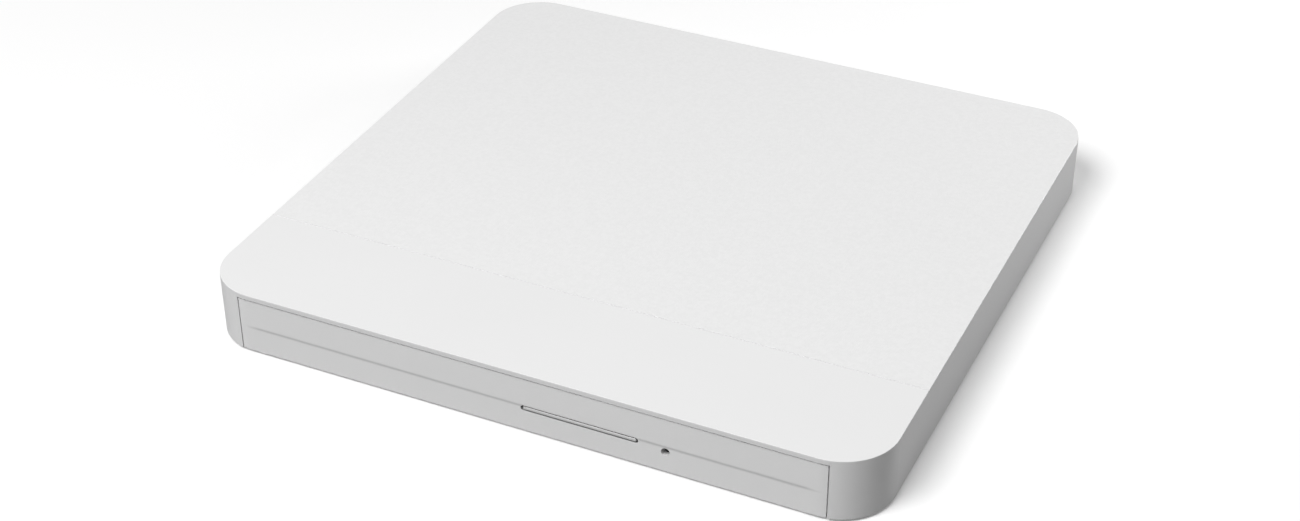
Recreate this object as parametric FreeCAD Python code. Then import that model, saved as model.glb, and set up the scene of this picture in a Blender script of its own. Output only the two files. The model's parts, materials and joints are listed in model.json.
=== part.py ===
"""External slim optical disc drive: a flat white case around a tray-loading disc mechanism.

Millimetres, +Z up, +X to the right as seen from the front, -Y towards the user.
The origin is the centre of the case on the surface that it stands on.
Sizes build up from the disc outwards, so the case comes to 144 x 137.5 x 14 mm.
"""

import FreeCAD
import Part
import math
import os
from FreeCAD import Vector

# ---------------------------------------------------------------- driving sizes
# The disc that the drive is built around
disc_diameter = 120.0
disc_thickness = 1.2
disc_bore = 15.0

# Sheet and wall thicknesses
wall = 1.6
top_thickness = 1.1
bottom_thickness = 1.4
chassis_sheet = 0.5
plate_sheet = 0.4
board_thickness = 0.8

# Front to back
well_clearance = 1.0
front_rim = 3.15
rear_rim = 1.6
buffer_gap = 1.9
rear_bay = 5.15

# Middle to side
tray_half = 58.9
rail_clearance = 0.1
rail_width = 3.2
guide_web = 0.8
boss_gap = 0.8
boss_radius = 2.6
boss_to_wall = 0.4

# Bottom to top
foot_height = 0.5
rest_rib_height = 0.4
under_tray_gap = 0.6
tray_height = 7.2
over_tray_gap = 0.8
crown_gap = 1.1
well_depth = 2.6
tray_floor_thickness = 1.6

# Outer form of the case
corner_radius = 11.5
top_edge_radius = 0.12
bottom_edge_chamfer = 0.08
front_strip_depth = 27.3
strip_line_width = 0.3
strip_line_depth = 0.1

# Bezel, its eject button and its emergency hole
bezel_gap = 0.3
bezel_setback = 0.2
bezel_side_clearance = 0.3
bezel_edge_radius = 0.1
crease_height = 5.72
crease_width = 0.8
crease_depth = 0.08
crease_end_margin = 5.4
button_length = 23.8
button_height = 0.64
button_centre_x = 12.6
button_above_base = 5.2
button_recess = 0.15
button_side_gap = 0.45
button_upper_gap = 0.36
button_lower_gap = 0.3
button_travel = 0.4
emergency_x = 30.5
emergency_above_base = 4.5
emergency_radius = 0.9

# Telescopic slides
rail_height = 3.0
channel_lip = 0.7
channel_lip_reach = 1.4
guide_lip_reach = 1.6
rail_groove_depth = 0.6
rail_groove_height = 1.2
rail_end_gap = 0.25
rail_length = 116.5
slide_travel = 63.0

# Tray
tray_web = 1.2
tray_skin = 1.4
tray_front_wall = 1.5
tray_corner_radius = 3.0
finger_notch_x = -24.0
finger_notch_reach = 2.0
finger_notch_radius = 8.5
finger_notch_depth = 1.2

# Traverse: the sub-frame with the disc motor and the pickup
traverse_angle = 225.0
traverse_frame_thickness = 1.0
traverse_frame_gap = 1.1
traverse_side_gap = 0.4
frame_rail_width = 4.0
frame_end_width = 2.4
opening_step = 0.8
lens_inner_radius = 23.5
unread_rim = 2.0
rod_radius = 1.0
rod_offset = 12.0
rod_boss = 2.1
rod_end_gap = 2.0
rod_clearance = 0.03
lead_screw_inset = 2.2
lead_screw_radius = 1.0
stepper_radius = 2.8
stepper_length = 6.6
stepper_wall_gap = 0.6

# Disc motor
turntable_radius = 14.0
turntable_ring_width = 3.0
rotor_radius = 12.0
hub_play = 0.15
shaft_radius = 1.0
shaft_clearance = 0.03
claw_width = 3.0
claw_travel = 0.8

# Pickup
pickup_half_width = 10.0
pickup_inward = 8.4
pickup_outward = 5.8
pickup_side_gap = 0.9
pickup_end_gap = 2.4
lens_radius = 2.0

# Latch
latch_to_side = 8.9
link_reach = 12.0
striker_radius = 1.1
latch_length = 7.0
latch_thickness = 1.4
latch_angle = 18.0
pivot_radius = 1.0
ejector_travel = 10.0
barrel_length = 26.0

# Boards, sockets and cable
usb_x = -40.0
usb_width = 7.7
usb_height = 3.9
usb_depth = 7.2
cable_width = 12.0
cable_thickness = 0.2
cable_to_side = 18.9
board_beside_socket = 12.0
board_right_margin = 15.1
board_depth = 30.7

# Small screws of the chassis and the board
small_screw_radius = 0.7
small_head_radius = 1.3
small_head_height = 0.4

# Small running gaps used all over
face_clearance = 0.1
loose_clearance = 0.3
fixed_clearance = 0.01

# ---------------------------------------------------------------- worked-out places
disc_radius = disc_diameter / 2
well_radius = disc_radius + well_clearance
hub_radius = disc_bore / 2 - hub_play

# Y, counted from the front face and then centred
case_depth = (
    2 * wall + front_rim + 2 * well_radius + rear_rim + buffer_gap + chassis_sheet + rear_bay
)
front_y = -case_depth / 2
rear_y = case_depth / 2
tray_front = front_y + wall
bezel_front = front_y + bezel_setback
spindle_y = tray_front + front_rim + well_radius
tray_rear = spindle_y + well_radius + rear_rim
chassis_front = tray_front + 1.0
chassis_rear_inner = tray_rear + buffer_gap
chassis_rear = chassis_rear_inner + chassis_sheet

# X, as distances from the middle
rail_inner = tray_half + rail_clearance
rail_outer = rail_inner + rail_width
guide_inner = rail_outer + rail_clearance
chassis_inner = guide_inner + guide_web
chassis_half = chassis_inner + chassis_sheet
drive_half = chassis_half + plate_sheet
boss_x = drive_half + boss_gap + boss_radius
case_half = boss_x + boss_radius + boss_to_wall + wall
bezel_half = rail_outer + bezel_side_clearance
opening_half = bezel_half + bezel_gap

# Z
shell_bottom = foot_height
base_top = shell_bottom + bottom_thickness
chassis_bottom = base_top + rest_rib_height
chassis_floor = chassis_bottom + chassis_sheet
tray_bottom = chassis_floor + under_tray_gap
tray_top = tray_bottom + tray_height
plate_bottom = tray_top + over_tray_gap
plate_top = plate_bottom + plate_sheet
ceiling = plate_top + crown_gap
shell_top = ceiling + top_thickness
well_floor = tray_top - well_depth
tray_under = well_floor - tray_floor_thickness
channel_top = well_floor
rail_top = channel_top - channel_lip - rail_clearance
rail_bottom = rail_top - rail_height
bezel_top = ceiling - bezel_gap
crease_z = shell_bottom + crease_height
button_z = shell_bottom + button_above_base
emergency_z = shell_bottom + emergency_above_base
frame_bottom = chassis_floor + traverse_frame_gap
frame_top = frame_bottom + traverse_frame_thickness
disc_seat = well_floor + 0.9

# In the traverse's own frame, u outwards from the spindle and v sideways
lens_travel = disc_radius - unread_rim - lens_inner_radius
pickup_arm_half = rod_offset + rod_boss
pickup_room_half = pickup_arm_half + pickup_side_gap
frame_half_width = pickup_room_half + frame_rail_width
opening_half_width = frame_half_width - opening_step
opening_front = lens_inner_radius + lens_travel + pickup_outward + pickup_end_gap
traverse_room = math.sqrt(2) * (tray_half - tray_web - traverse_side_gap)
lead_screw_offset = frame_half_width - lead_screw_inset

# Beside the traverse
cable_x = tray_half - cable_to_side
board_left = usb_x - board_beside_socket
board_right = chassis_inner - board_right_margin

UP = Vector(0, 0, 1)


# ---------------------------------------------------------------- helpers
def block(x0, x1, y0, y1, z0, z1):
    """A box between two values on each axis."""
    return Part.makeBox(x1 - x0, y1 - y0, z1 - z0, Vector(x0, y0, z0))


def disc(radius, z0, z1, x=0.0, y=0.0):
    """A cylinder along Z."""
    return Part.makeCylinder(radius, z1 - z0, Vector(x, y, z0))


def ring(outer, inner, z0, z1, x=0.0, y=0.0):
    """A tube along Z."""
    return disc(outer, z0, z1, x, y).cut(disc(inner, z0, z1, x, y))


def bar(radius, start, length, direction):
    """A cylinder from a start point along any direction."""
    return Part.makeCylinder(radius, length, start, direction)


def prism(points, z0, z1):
    """A polygon given as (x, y) corners, raised from z0 to z1."""
    corners = [Vector(x, y, z0) for x, y in points]
    face = Part.Face(Part.makePolygon(corners + corners[:1]))
    return face.extrude(Vector(0, 0, z1 - z0))


def slab(half_x, half_y, radius, z0, z1, centre_y=0.0):
    """A rounded rectangle about X = 0, raised from z0 to z1."""
    body = block(-half_x, half_x, centre_y - half_y, centre_y + half_y, z0, z1)
    upright = [e for e in body.Edges if abs(e.tangentAt(e.FirstParameter).z) > 0.9]
    return body.makeFillet(radius, upright)


def stadium_y(length, height, x, z, y0, y1):
    """A round-ended bar lying along X with its thickness along Y."""
    half = length / 2 - height / 2
    body = block(x - half, x + half, y0, y1, z - height / 2, z + height / 2)
    along = Vector(0, 1, 0)
    ends = [bar(height / 2, Vector(x + s * half, y0, z), y1 - y0, along) for s in (-1, 1)]
    return join([body] + ends)


def round_uprights(shape, radius, wanted):
    """Rounds the upright edges whose (x, y) place passes a test."""
    found = []
    for edge in shape.Edges:
        centre = edge.BoundBox.Center
        if abs(edge.tangentAt(edge.FirstParameter).z) > 0.9 and wanted(centre.x, centre.y):
            found.append(edge)
    return shape.makeFillet(radius, found)


def join(shapes):
    """One solid from shapes that touch."""
    whole = shapes[0]
    for shape in shapes[1:]:
        whole = whole.fuse(shape)
    return whole.removeSplitter()


def group(shapes):
    """Several separate solids kept in one node."""
    return Part.makeCompound([s for shape in shapes for s in shape.Solids])


def both_sides(shape):
    """A shape and its mirror image across the middle plane."""
    return [shape, shape.mirror(Vector(0, 0, 0), Vector(1, 0, 0))]


def on_traverse(shape):
    """From the traverse's own frame (X out from the spindle) to its place in the tray."""
    turned = shape.rotated(Vector(0, 0, 0), UP, traverse_angle)
    return turned.translated(Vector(0, spindle_y, 0))


def edges_at(shape, z, tolerance=1e-4):
    """The edges that lie wholly at one height."""
    found = []
    for edge in shape.Edges:
        box = edge.BoundBox
        if abs(box.ZMin - z) < tolerance and abs(box.ZMax - z) < tolerance:
            found.append(edge)
    return found


# ---------------------------------------------------------------- case
def outer_form():
    """The whole outside of the case, which the cover and the bezel share."""
    body = slab(case_half, case_depth / 2, corner_radius, shell_bottom, shell_top)
    body = body.makeFillet(top_edge_radius, edges_at(body, shell_top))
    return body.makeChamfer(bottom_edge_chamfer, edges_at(body, shell_bottom))


def boss_places():
    """The four screw bosses, beside the drive."""
    boss_y = rear_y - corner_radius - 2 * boss_radius
    return [(sx * boss_x, sy * boss_y) for sx in (-1, 1) for sy in (-1, 1)]


screw_radius = 1.0
screw_head_radius = 1.9
screw_head_height = 0.8
screw_head_sink = 0.9
screw_depth = 6.0
pilot_clearance = 0.03


def top_cover():
    inner_half = case_half - wall
    inner_depth = case_depth / 2 - wall
    cavity = slab(inner_half, inner_depth, corner_radius - wall, shell_bottom, ceiling)
    shell = outer_form().cut(cavity)
    mouth = block(
        -opening_half, opening_half, front_y - wall, tray_front + loose_clearance, 0, ceiling
    )
    shell = shell.cut(mouth)
    line_y = front_y + front_strip_depth
    line = block(
        -case_half, case_half,
        line_y, line_y + strip_line_width,
        shell_top - strip_line_depth, shell_top + 1,
    )
    shell = shell.cut(line)
    shell = shell.cut(usb_window())
    bosses = []
    for x, y in boss_places():
        post = disc(boss_radius, base_top, ceiling + top_thickness / 2, x, y)
        side = math.copysign(1.0, x)
        inner_x = sorted([x, side * (inner_half + wall / 2)])
        web = block(inner_x[0], inner_x[1], y - 0.5, y + 0.5, base_top, ceiling)
        pilot = disc(screw_radius + pilot_clearance, base_top, base_top + screw_depth, x, y)
        bosses.append(join([post, web]).cut(pilot))
    for rib_y in (front_y + case_depth / 4, 0.0, rear_y - case_depth / 4):
        rib = block(
            -chassis_half, chassis_half, rib_y - 0.5, rib_y + 0.5,
            plate_top, ceiling + top_thickness / 2,
        )
        bosses.append(rib)
    return join([shell] + bosses)


usb_window_margin = 0.45
usb_window_flare = 0.7
board_rise = 0.5
board_bottom = chassis_floor + board_rise
board_top = board_bottom + board_thickness


def usb_window():
    """The hole in the rear wall for the plug, flared outwards."""
    half_w = usb_width / 2 + usb_window_margin
    low = board_top - usb_window_margin
    high = board_top + usb_height + usb_window_margin

    def outline(grow, y):
        corners = [
            Vector(usb_x - half_w - grow, y, low - grow),
            Vector(usb_x + half_w + grow, y, low - grow),
            Vector(usb_x + half_w + grow, y, high + grow),
            Vector(usb_x - half_w - grow, y, high + grow),
        ]
        return Part.makePolygon(corners + corners[:1])

    flare = Part.makeLoft(
        [outline(0, rear_y - usb_window_flare), outline(usb_window_flare, rear_y)], True, True
    )
    straight = block(
        usb_x - half_w, usb_x + half_w, rear_y - 2 * wall, rear_y - usb_window_flare, low, high
    )
    return join([straight, flare])


foot_radius = 4.5
foot_recess = 0.5
foot_inset = 13.5
foot_chamfer = 0.25


def foot_places():
    """Name and centre of each rubber foot."""
    x = case_half - foot_inset
    y = rear_y - foot_inset
    return {
        "front_left": (-x, -y),
        "front_right": (x, -y),
        "rear_left": (-x, y),
        "rear_right": (x, y),
    }


def bottom_cover():
    half_x = case_half - wall - face_clearance
    half_y = case_depth / 2 - wall - face_clearance
    radius = corner_radius - wall - face_clearance
    plate = slab(half_x, half_y, radius, shell_bottom, base_top)
    bezel_room = block(
        -opening_half - loose_clearance, opening_half + loose_clearance,
        front_y, tray_front + loose_clearance, 0, base_top,
    )
    plate = plate.cut(bezel_room)
    for x, y in foot_places().values():
        socket = disc(foot_radius + face_clearance, shell_bottom, shell_bottom + foot_recess, x, y)
        plate = plate.cut(socket)
    for x, y in boss_places():
        sink = disc(
            screw_head_radius + face_clearance,
            shell_bottom, shell_bottom + screw_head_sink, x, y,
        )
        hole = disc(screw_radius + face_clearance, shell_bottom, base_top, x, y)
        plate = plate.cut(sink).cut(hole)
    ribs = []
    for rib_y in (front_y + case_depth / 4, 0.0, rear_y - case_depth / 4):
        rib = block(
            -chassis_half, chassis_half, rib_y - 0.6, rib_y + 0.6,
            base_top - bottom_thickness / 2, chassis_bottom,
        )
        ribs.append(rib)
    return join([plate] + ribs)


def foot(place):
    x, y = foot_places()[place]
    pad = disc(foot_radius, 0, shell_bottom + foot_recess, x, y)
    return pad.makeChamfer(foot_chamfer, edges_at(pad, 0))


def case_screws():
    screws = []
    for x, y in boss_places():
        seat = shell_bottom + screw_head_sink
        head = disc(screw_head_radius, seat - screw_head_height, seat, x, y)
        shank = disc(screw_radius, seat, base_top + screw_depth - 1.0, x, y)
        screws.append(join([head, shank]))
    return group(screws)


# ---------------------------------------------------------------- drive chassis
side_screw_z = plate_bottom - 1.6
chassis_notch_half = 9.0
plate_flange = 4.0
board_post_radius = 2.2
post_inset = 4.0


def side_screw_places():
    return [front_y + case_depth / 5, rear_y - case_depth / 5]


def drive_chassis():
    outer = block(
        -chassis_half, chassis_half, chassis_front, chassis_rear, chassis_bottom, plate_bottom
    )
    inner = block(
        -chassis_inner, chassis_inner, chassis_front - 1, chassis_rear_inner,
        chassis_floor, plate_bottom + 1,
    )
    pan = outer.cut(inner)
    notch = block(
        usb_x - chassis_notch_half, usb_x + chassis_notch_half,
        chassis_rear_inner - 1, chassis_rear + 1,
        chassis_floor, board_top + usb_height + loose_clearance,
    )
    pan = pan.cut(notch)
    for y in side_screw_places():
        hole = bar(
            small_screw_radius + face_clearance / 2,
            Vector(-2 * chassis_half, y, side_screw_z), 4 * chassis_half, Vector(1, 0, 0),
        )
        pan = pan.cut(hole)
    posts = [
        disc(board_post_radius, chassis_floor, board_bottom, x, y) for x, y in board_posts()
    ]
    beads = [
        block(
            -chassis_half * 0.75, chassis_half * 0.75, y - 1.2, y + 1.2,
            chassis_floor, chassis_floor + 0.15,
        )
        for y in (front_y + case_depth * 0.16, front_y + case_depth * 0.62)
    ]
    pan = join([pan] + posts + beads)
    x, y = striker_place()
    return pan.cut(disc(striker_radius, chassis_bottom, chassis_floor, x, y)).cut(board_holes())


def drive_top_plate():
    plate = block(-drive_half, drive_half, chassis_front, chassis_rear, plate_bottom, plate_top)
    flange_bottom = plate_bottom - plate_flange
    skirts = both_sides(
        block(chassis_half, drive_half, chassis_front, chassis_rear, flange_bottom, plate_bottom)
    )
    plate = join([plate] + skirts)
    panel = slab(
        chassis_half * 0.72, case_depth * 0.3, 8.0,
        plate_top - plate_sheet / 2, plate_top, spindle_y,
    )
    plate = plate.cut(panel)
    for y in side_screw_places():
        hole = bar(
            small_screw_radius + face_clearance / 2,
            Vector(-2 * drive_half, y, side_screw_z), 4 * drive_half, Vector(1, 0, 0),
        )
        plate = plate.cut(hole)
    return plate


def chassis_screws():
    """Four small screws hold the top plate at the sides and four hold the board down."""
    screws = []
    for y in side_screw_places():
        head = bar(small_head_radius, Vector(drive_half, y, side_screw_z),
                   small_head_height, Vector(1, 0, 0))
        shank = bar(small_screw_radius, Vector(chassis_inner, y, side_screw_z),
                    drive_half - chassis_inner, Vector(1, 0, 0))
        screws += both_sides(join([head, shank]))
    for x, y in board_posts():
        head = disc(small_head_radius, board_top, board_top + small_head_height, x, y)
        shank = disc(small_screw_radius, chassis_bottom, board_top, x, y)
        screws.append(join([head, shank]))
    return group(screws)


guide_rear = tray_rear - 2.0


def rail_guide():
    """The right-hand fixed guide: a channel that opens towards the middle."""
    front = chassis_front
    low = rail_bottom - rail_clearance - channel_lip
    web = block(guide_inner, chassis_inner, front, guide_rear, low, channel_top)
    reach = guide_inner - guide_lip_reach
    lower = block(reach, guide_inner, front, guide_rear, low, low + channel_lip)
    upper = block(
        reach, guide_inner, front, guide_rear, channel_top - channel_lip, channel_top
    )
    return join([web, lower, upper])


def slide_rail():
    """The right-hand intermediate rail, grooved along both flanks."""
    start = tray_front + rail_end_gap
    body = block(rail_inner, rail_outer, start, start + rail_length, rail_bottom, rail_top)
    mid = (rail_bottom + rail_top) / 2
    low = mid - rail_groove_height / 2
    high = mid + rail_groove_height / 2
    margin = 4.0
    for x0, x1 in (
        (rail_inner - 1, rail_inner + rail_groove_depth),
        (rail_outer - rail_groove_depth, rail_outer + 1),
    ):
        body = body.cut(block(x0, x1, start + margin, start + rail_length - margin, low, high))
    return body


# ---------------------------------------------------------------- boards and sockets
board_rear = chassis_rear_inner - loose_clearance
board_front = board_rear - board_depth
board_tongue_half = 8.0
board_tongue_end = rear_y - wall - loose_clearance


def board_posts():
    """Raised seats in the chassis floor that carry the main board."""
    xs = (board_left + post_inset, board_right - post_inset)
    ys = (board_front + 2 * post_inset, board_rear - post_inset)
    return [(x, y) for x in xs for y in ys]


def main_board():
    board = block(board_left, board_right, board_front, board_rear, board_bottom, board_top)
    tongue = block(
        usb_x - board_tongue_half, usb_x + board_tongue_half,
        board_rear, board_tongue_end, board_bottom, board_top,
    )
    return join([board, tongue]).cut(board_holes())


def board_holes():
    """The screw holes that run through the board, its seats and the chassis floor."""
    radius = small_screw_radius + face_clearance / 2
    return join([disc(radius, chassis_bottom - 1, board_top + 1, x, y) for x, y in board_posts()])


chip_height = 1.0
chip_half = 7.0
driver_half = 4.5
memory_half = 2.5
crystal_length = 4.0
crystal_width = 1.8
small_part_length = 1.6
capacitor_radius = 1.6
chip_pitch = 20.0
small_part_pitch = 6.5


def board_chips():
    """Controller, motor driver, memory, crystal and the small parts round them."""
    middle_y = (board_front + board_rear) / 2
    top = board_top + chip_height
    row_y = middle_y + chip_half + 0.6

    def chip(x, y, half_x, half_y):
        return block(x - half_x, x + half_x, y - half_y, y + half_y, board_top, top)

    parts = [
        chip(0, middle_y, chip_half, chip_half),
        chip(chip_pitch, middle_y, driver_half, driver_half),
        chip(-chip_pitch, middle_y, memory_half, memory_half),
        chip(-chip_pitch, row_y, crystal_length / 2, crystal_width / 2),
    ]
    for n in range(-1, 4):
        x = small_part_pitch * (n - 1)
        parts.append(chip(x, row_y + 2.4, small_part_length / 2, small_part_length / 3))
    for n in range(-1, 2):
        x = 2 * small_part_pitch * n
        parts.append(disc(capacitor_radius, board_top, top + 0.2, x, middle_y - 1.5 * chip_half))
    return group(parts)


usb_shell_sheet = 0.35
usb_rear = rear_y - loose_clearance - 0.1
usb_front = usb_rear - usb_depth


def usb_shell():
    """A mini-B socket shell: a folded tube whose lower corners slope in."""
    def section(inset, y):
        half = usb_width / 2 - inset
        low = board_top + inset
        high = board_top + usb_height - inset
        step = 1.1
        corners = [
            (usb_x - half + step, low),
            (usb_x + half - step, low),
            (usb_x + half - step, low + step * 0.8),
            (usb_x + half, low + step * 1.5),
            (usb_x + half, high),
            (usb_x - half, high),
            (usb_x - half, low + step * 1.5),
            (usb_x - half + step, low + step * 0.8),
        ]
        points = [Vector(x, y, z) for x, z in corners]
        return Part.Face(Part.makePolygon(points + points[:1]))

    solid = section(0, usb_front).extrude(Vector(0, usb_depth, 0))
    hollow = section(usb_shell_sheet, usb_front + 0.8).extrude(Vector(0, usb_depth, 0))
    return solid.cut(hollow)


def usb_tongue():
    """The plastic tongue with its five contacts in the middle of the socket."""
    mid = board_top + usb_height * 0.58
    tongue = block(
        usb_x - 1.9, usb_x + 1.9, usb_front + 0.8, usb_rear - 1.3, mid - 0.5, mid + 0.15
    )
    contacts = [
        block(
            usb_x + 0.8 * n - 0.15, usb_x + 0.8 * n + 0.15,
            usb_front + 1.2, usb_rear - 1.8, mid + 0.15, mid + 0.25,
        )
        for n in (-2, -1, 0, 1, 2)
    ]
    return join([tongue] + contacts)


socket_half = cable_width / 2 + 1.0
socket_height = 1.0
socket_length = 4.5
tray_socket_y = tray_rear - 2 * socket_length - 0.6


def board_cable_socket():
    return socket(board_front + 0.6, board_top, cable_low_z_at_board())


def tray_cable_socket():
    return socket(tray_socket_y, tray_under - socket_height, cable_high_z())


def socket(y, z, slot_z):
    """A flat-cable socket with its slot towards the front."""
    body = block(cable_x - socket_half, cable_x + socket_half, y, y + socket_length,
                 z, z + socket_height)
    slot = block(
        cable_x - cable_width / 2 - face_clearance, cable_x + cable_width / 2 + face_clearance,
        y - 1, y + 2.0,
        slot_z - cable_thickness / 2 - face_clearance / 2,
        slot_z + cable_thickness / 2 + face_clearance / 2,
    )
    return body.cut(slot)


def cable_low_z_at_board():
    return board_top + socket_height / 2


def cable_high_z():
    return tray_under - socket_height / 2


def cable_floor_z():
    return chassis_floor + 0.15 + cable_thickness / 2 + face_clearance


cable_bend_y = tray_socket_y - slide_travel


def cable_middle():
    """Height of the fold's centre and its radius."""
    low = cable_floor_z()
    high = cable_high_z()
    return (low + high) / 2, (high - low) / 2


def cable_lower():
    """From the board's socket down to the floor and forwards to the fold."""
    low = cable_floor_z()
    step = cable_low_z_at_board()
    drop_start = board_front - 2.0
    drop_end = drop_start - 3.0 * (step - low)
    points = [
        Vector(cable_x, board_front + 0.6 + 1.8, step),
        Vector(cable_x, drop_start, step),
        Vector(cable_x, drop_end, low),
        Vector(cable_x, cable_bend_y, low),
    ]
    strips = [strip(a, b) for a, b in zip(points, points[1:])]
    return join(strips).common(block(0, case_half, cable_bend_y, rear_y, 0, shell_top))


def cable_fold():
    """The half turn between the two runs, which follows the slides."""
    middle, radius = cable_middle()
    half = cable_thickness / 2
    turn = ring_x(radius + half, radius - half, cable_bend_y, middle)
    return turn.common(block(0, case_half, front_y, cable_bend_y, 0, shell_top))


def cable_upper():
    """From the fold back along the tray to the tray's socket."""
    high = cable_high_z()
    run = strip(
        Vector(cable_x, cable_bend_y, high), Vector(cable_x, tray_socket_y + 1.8, high)
    )
    return run.common(block(0, case_half, cable_bend_y, rear_y, 0, shell_top))


def strip(start, end):
    """A straight length of flat cable between two points at one X."""
    along = (end - start).normalize()
    across = Vector(1, 0, 0).cross(along) * cable_thickness / 2
    side = Vector(cable_width / 2, 0, 0)
    reach = along * 0.02
    corners = [start - reach - across, end + reach - across, end + reach + across,
               start - reach + across]
    face = Part.Face(Part.makePolygon([c - side for c in corners + corners[:1]]))
    return face.extrude(side * 2)


def ring_x(outer, inner, y, z):
    """A tube along X, as wide as the flat cable."""
    start = Vector(cable_x - cable_width / 2, y, z)
    along = Vector(1, 0, 0)
    return bar(outer, start, cable_width, along).cut(bar(inner, start, cable_width, along))


# ---------------------------------------------------------------- latch places
def latch_pivot():
    """In front of the striker, so that the hook pulls straight on it."""
    return (tray_half - latch_to_side, tray_front + 4.2)


def striker_place():
    x, y = latch_pivot()
    return (x, y + latch_length)


def striker_pin():
    x, y = striker_place()
    body = disc(striker_radius, chassis_bottom, tray_bottom + 2.2, x, y)
    return body.makeChamfer(0.3, edges_at(body, tray_bottom + 2.2))


# ---------------------------------------------------------------- tray
def well():
    """The round recess for the disc, open to the top."""
    return disc(well_radius, well_floor, tray_top + 1, 0, spindle_y)


rim_underside = tray_top - tray_skin
rear_window_top = board_top + 1.6


def traverse_outline(half_width, rear, front, room):
    """Outline in the traverse's own frame: a bar, its outer corners cut along the tray's sides."""
    cut = max(0.0, half_width + front - room)
    outline = [(-rear, -half_width), (front - cut, -half_width)]
    if cut:
        outline += [(front, cut - half_width), (front, half_width - cut)]
    return outline + [(front - cut, half_width), (-rear, half_width)]


def tray_blank():
    """The tray's outside with its rear corners rounded, hollowed from below."""
    blank = block(-tray_half, tray_half, tray_front, tray_rear, tray_bottom, tray_top)
    upright = [
        e for e in blank.Edges
        if abs(e.tangentAt(e.FirstParameter).z) > 0.9 and e.BoundBox.YMin > 0
    ]
    blank = blank.makeFillet(tray_corner_radius, upright)
    hollow = block(
        -tray_half + tray_web, tray_half - tray_web,
        tray_front + tray_front_wall, tray_rear - tray_skin, tray_bottom - 1, rim_underside,
    )
    well_wall = disc(well_radius + tray_skin, tray_under, tray_top, 0, spindle_y)
    return blank.cut(hollow.cut(well_wall))


def tray_lips():
    """The outward lips that make each side of the tray a channel for its slide."""
    low = rail_bottom - rail_clearance - channel_lip
    lips = []
    for z in (low, channel_top - channel_lip):
        lip = block(
            tray_half - tray_web, tray_half + channel_lip_reach,
            tray_front, tray_rear - tray_corner_radius, z, z + channel_lip,
        )
        lips += both_sides(lip)
    return lips


def tray():
    body = join([tray_blank()] + tray_lips() + tray_fixings())
    return body.cut(well()).cut(tray_openings())


def tray_openings():
    """Everything that is cut through the tray at the end."""
    outline = traverse_outline(opening_half_width, 0, opening_front, traverse_room)
    through = on_traverse(prism(outline, tray_bottom - 1, tray_top))
    through = through.common(disc(well_radius, 0, tray_top, 0, spindle_y))
    under = on_traverse(prism(outline, tray_bottom - 1, well_floor - cover_plate_sheet))
    seat = on_traverse(cover_plate_blank(0, well_floor - cover_plate_sheet, tray_top))
    seat = seat.common(disc(well_radius, 0, tray_top, 0, spindle_y))
    shanks = [
        on_traverse(disc(plate_screw_shank + fixed_clearance, tray_under, tray_top, u, v))
        for u, v in plate_screw_places()
    ]
    cut = [
        through,
        under,
        seat,
        disc(opening_half_width, tray_bottom - 1, tray_top, 0, spindle_y),
        finger_notch(),
        front_windows(),
        rear_window(),
        ejector_bore(),
    ]
    return join(cut + shanks)


def rear_window():
    """The gap in the rear skirt that passes over the board and past the striker."""
    x, y = striker_place()
    return block(
        board_left - 1.5, x + striker_radius + loose_clearance,
        tray_rear - tray_skin - 1, tray_rear + 1, tray_bottom - 1, rear_window_top,
    )


def finger_notch():
    """A hollow in the front rim, where a finger lifts the disc."""
    y = spindle_y - well_radius
    return disc(
        finger_notch_radius, tray_top - finger_notch_depth, tray_top + 1,
        finger_notch_x, y + finger_notch_radius - finger_notch_reach,
    )


def front_windows():
    """Openings in the tray's front wall for the button, the lamp and the emergency pin."""
    margin = 1.2
    window = block(
        button_centre_x - button_length / 2 - margin, button_centre_x + button_length / 2 + margin,
        tray_front - 1, tray_front + tray_front_wall + 0.01,
        tray_bottom - 1, button_z + button_height / 2 + margin,
    )
    pin_hole = bar(
        emergency_radius + 2 * face_clearance, Vector(emergency_x, tray_front - 1, emergency_z),
        tray_front_wall + 2, Vector(0, 1, 0),
    )
    slots = [lug_box(x, face_clearance) for x in lug_places]
    return join([window, pin_hole] + slots)


ejector_radius = 1.5
ejector_wall = 0.8
ejector_side_gap = 1.1
ejector_x = (
    tray_half - tray_web - ejector_side_gap - ejector_radius - face_clearance - ejector_wall
)
ejector_z = tray_bottom + 2.6
ejector_front = tray_rear - barrel_length
ejector_length = ejector_travel + 7.0
spring_gap = 0.2


def ejector_barrel():
    """The barrel under the tray that holds the push-out spring and its plunger."""
    outer = ejector_radius + face_clearance + ejector_wall
    start = Vector(ejector_x, ejector_front - ejector_wall, ejector_z)
    return bar(outer, start, tray_rear - ejector_front + ejector_wall, Vector(0, 1, 0))


def ejector_bore():
    start = Vector(ejector_x, ejector_front, ejector_z)
    return bar(
        ejector_radius + face_clearance, start, tray_rear - ejector_front + 1, Vector(0, 1, 0)
    )


def ejector_plunger():
    tip = chassis_rear_inner - face_clearance
    start = Vector(ejector_x, tip - ejector_length, ejector_z)
    body = bar(ejector_radius, start, ejector_length, Vector(0, 1, 0))
    tip_edges = [e for e in body.Edges if abs(e.BoundBox.YMin - tip) < 1e-4
                 and abs(e.BoundBox.YMax - tip) < 1e-4]
    return body.makeChamfer(0.4, tip_edges)


def ejector_spring():
    tip = chassis_rear_inner - face_clearance
    end = tip - ejector_length
    start = Vector(ejector_x, ejector_front, ejector_z)
    outer = bar(ejector_radius - spring_gap, start, end - ejector_front, Vector(0, 1, 0))
    inner = bar(ejector_radius - 2 * spring_gap, start, end - ejector_front, Vector(0, 1, 0))
    return outer.cut(inner)


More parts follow.
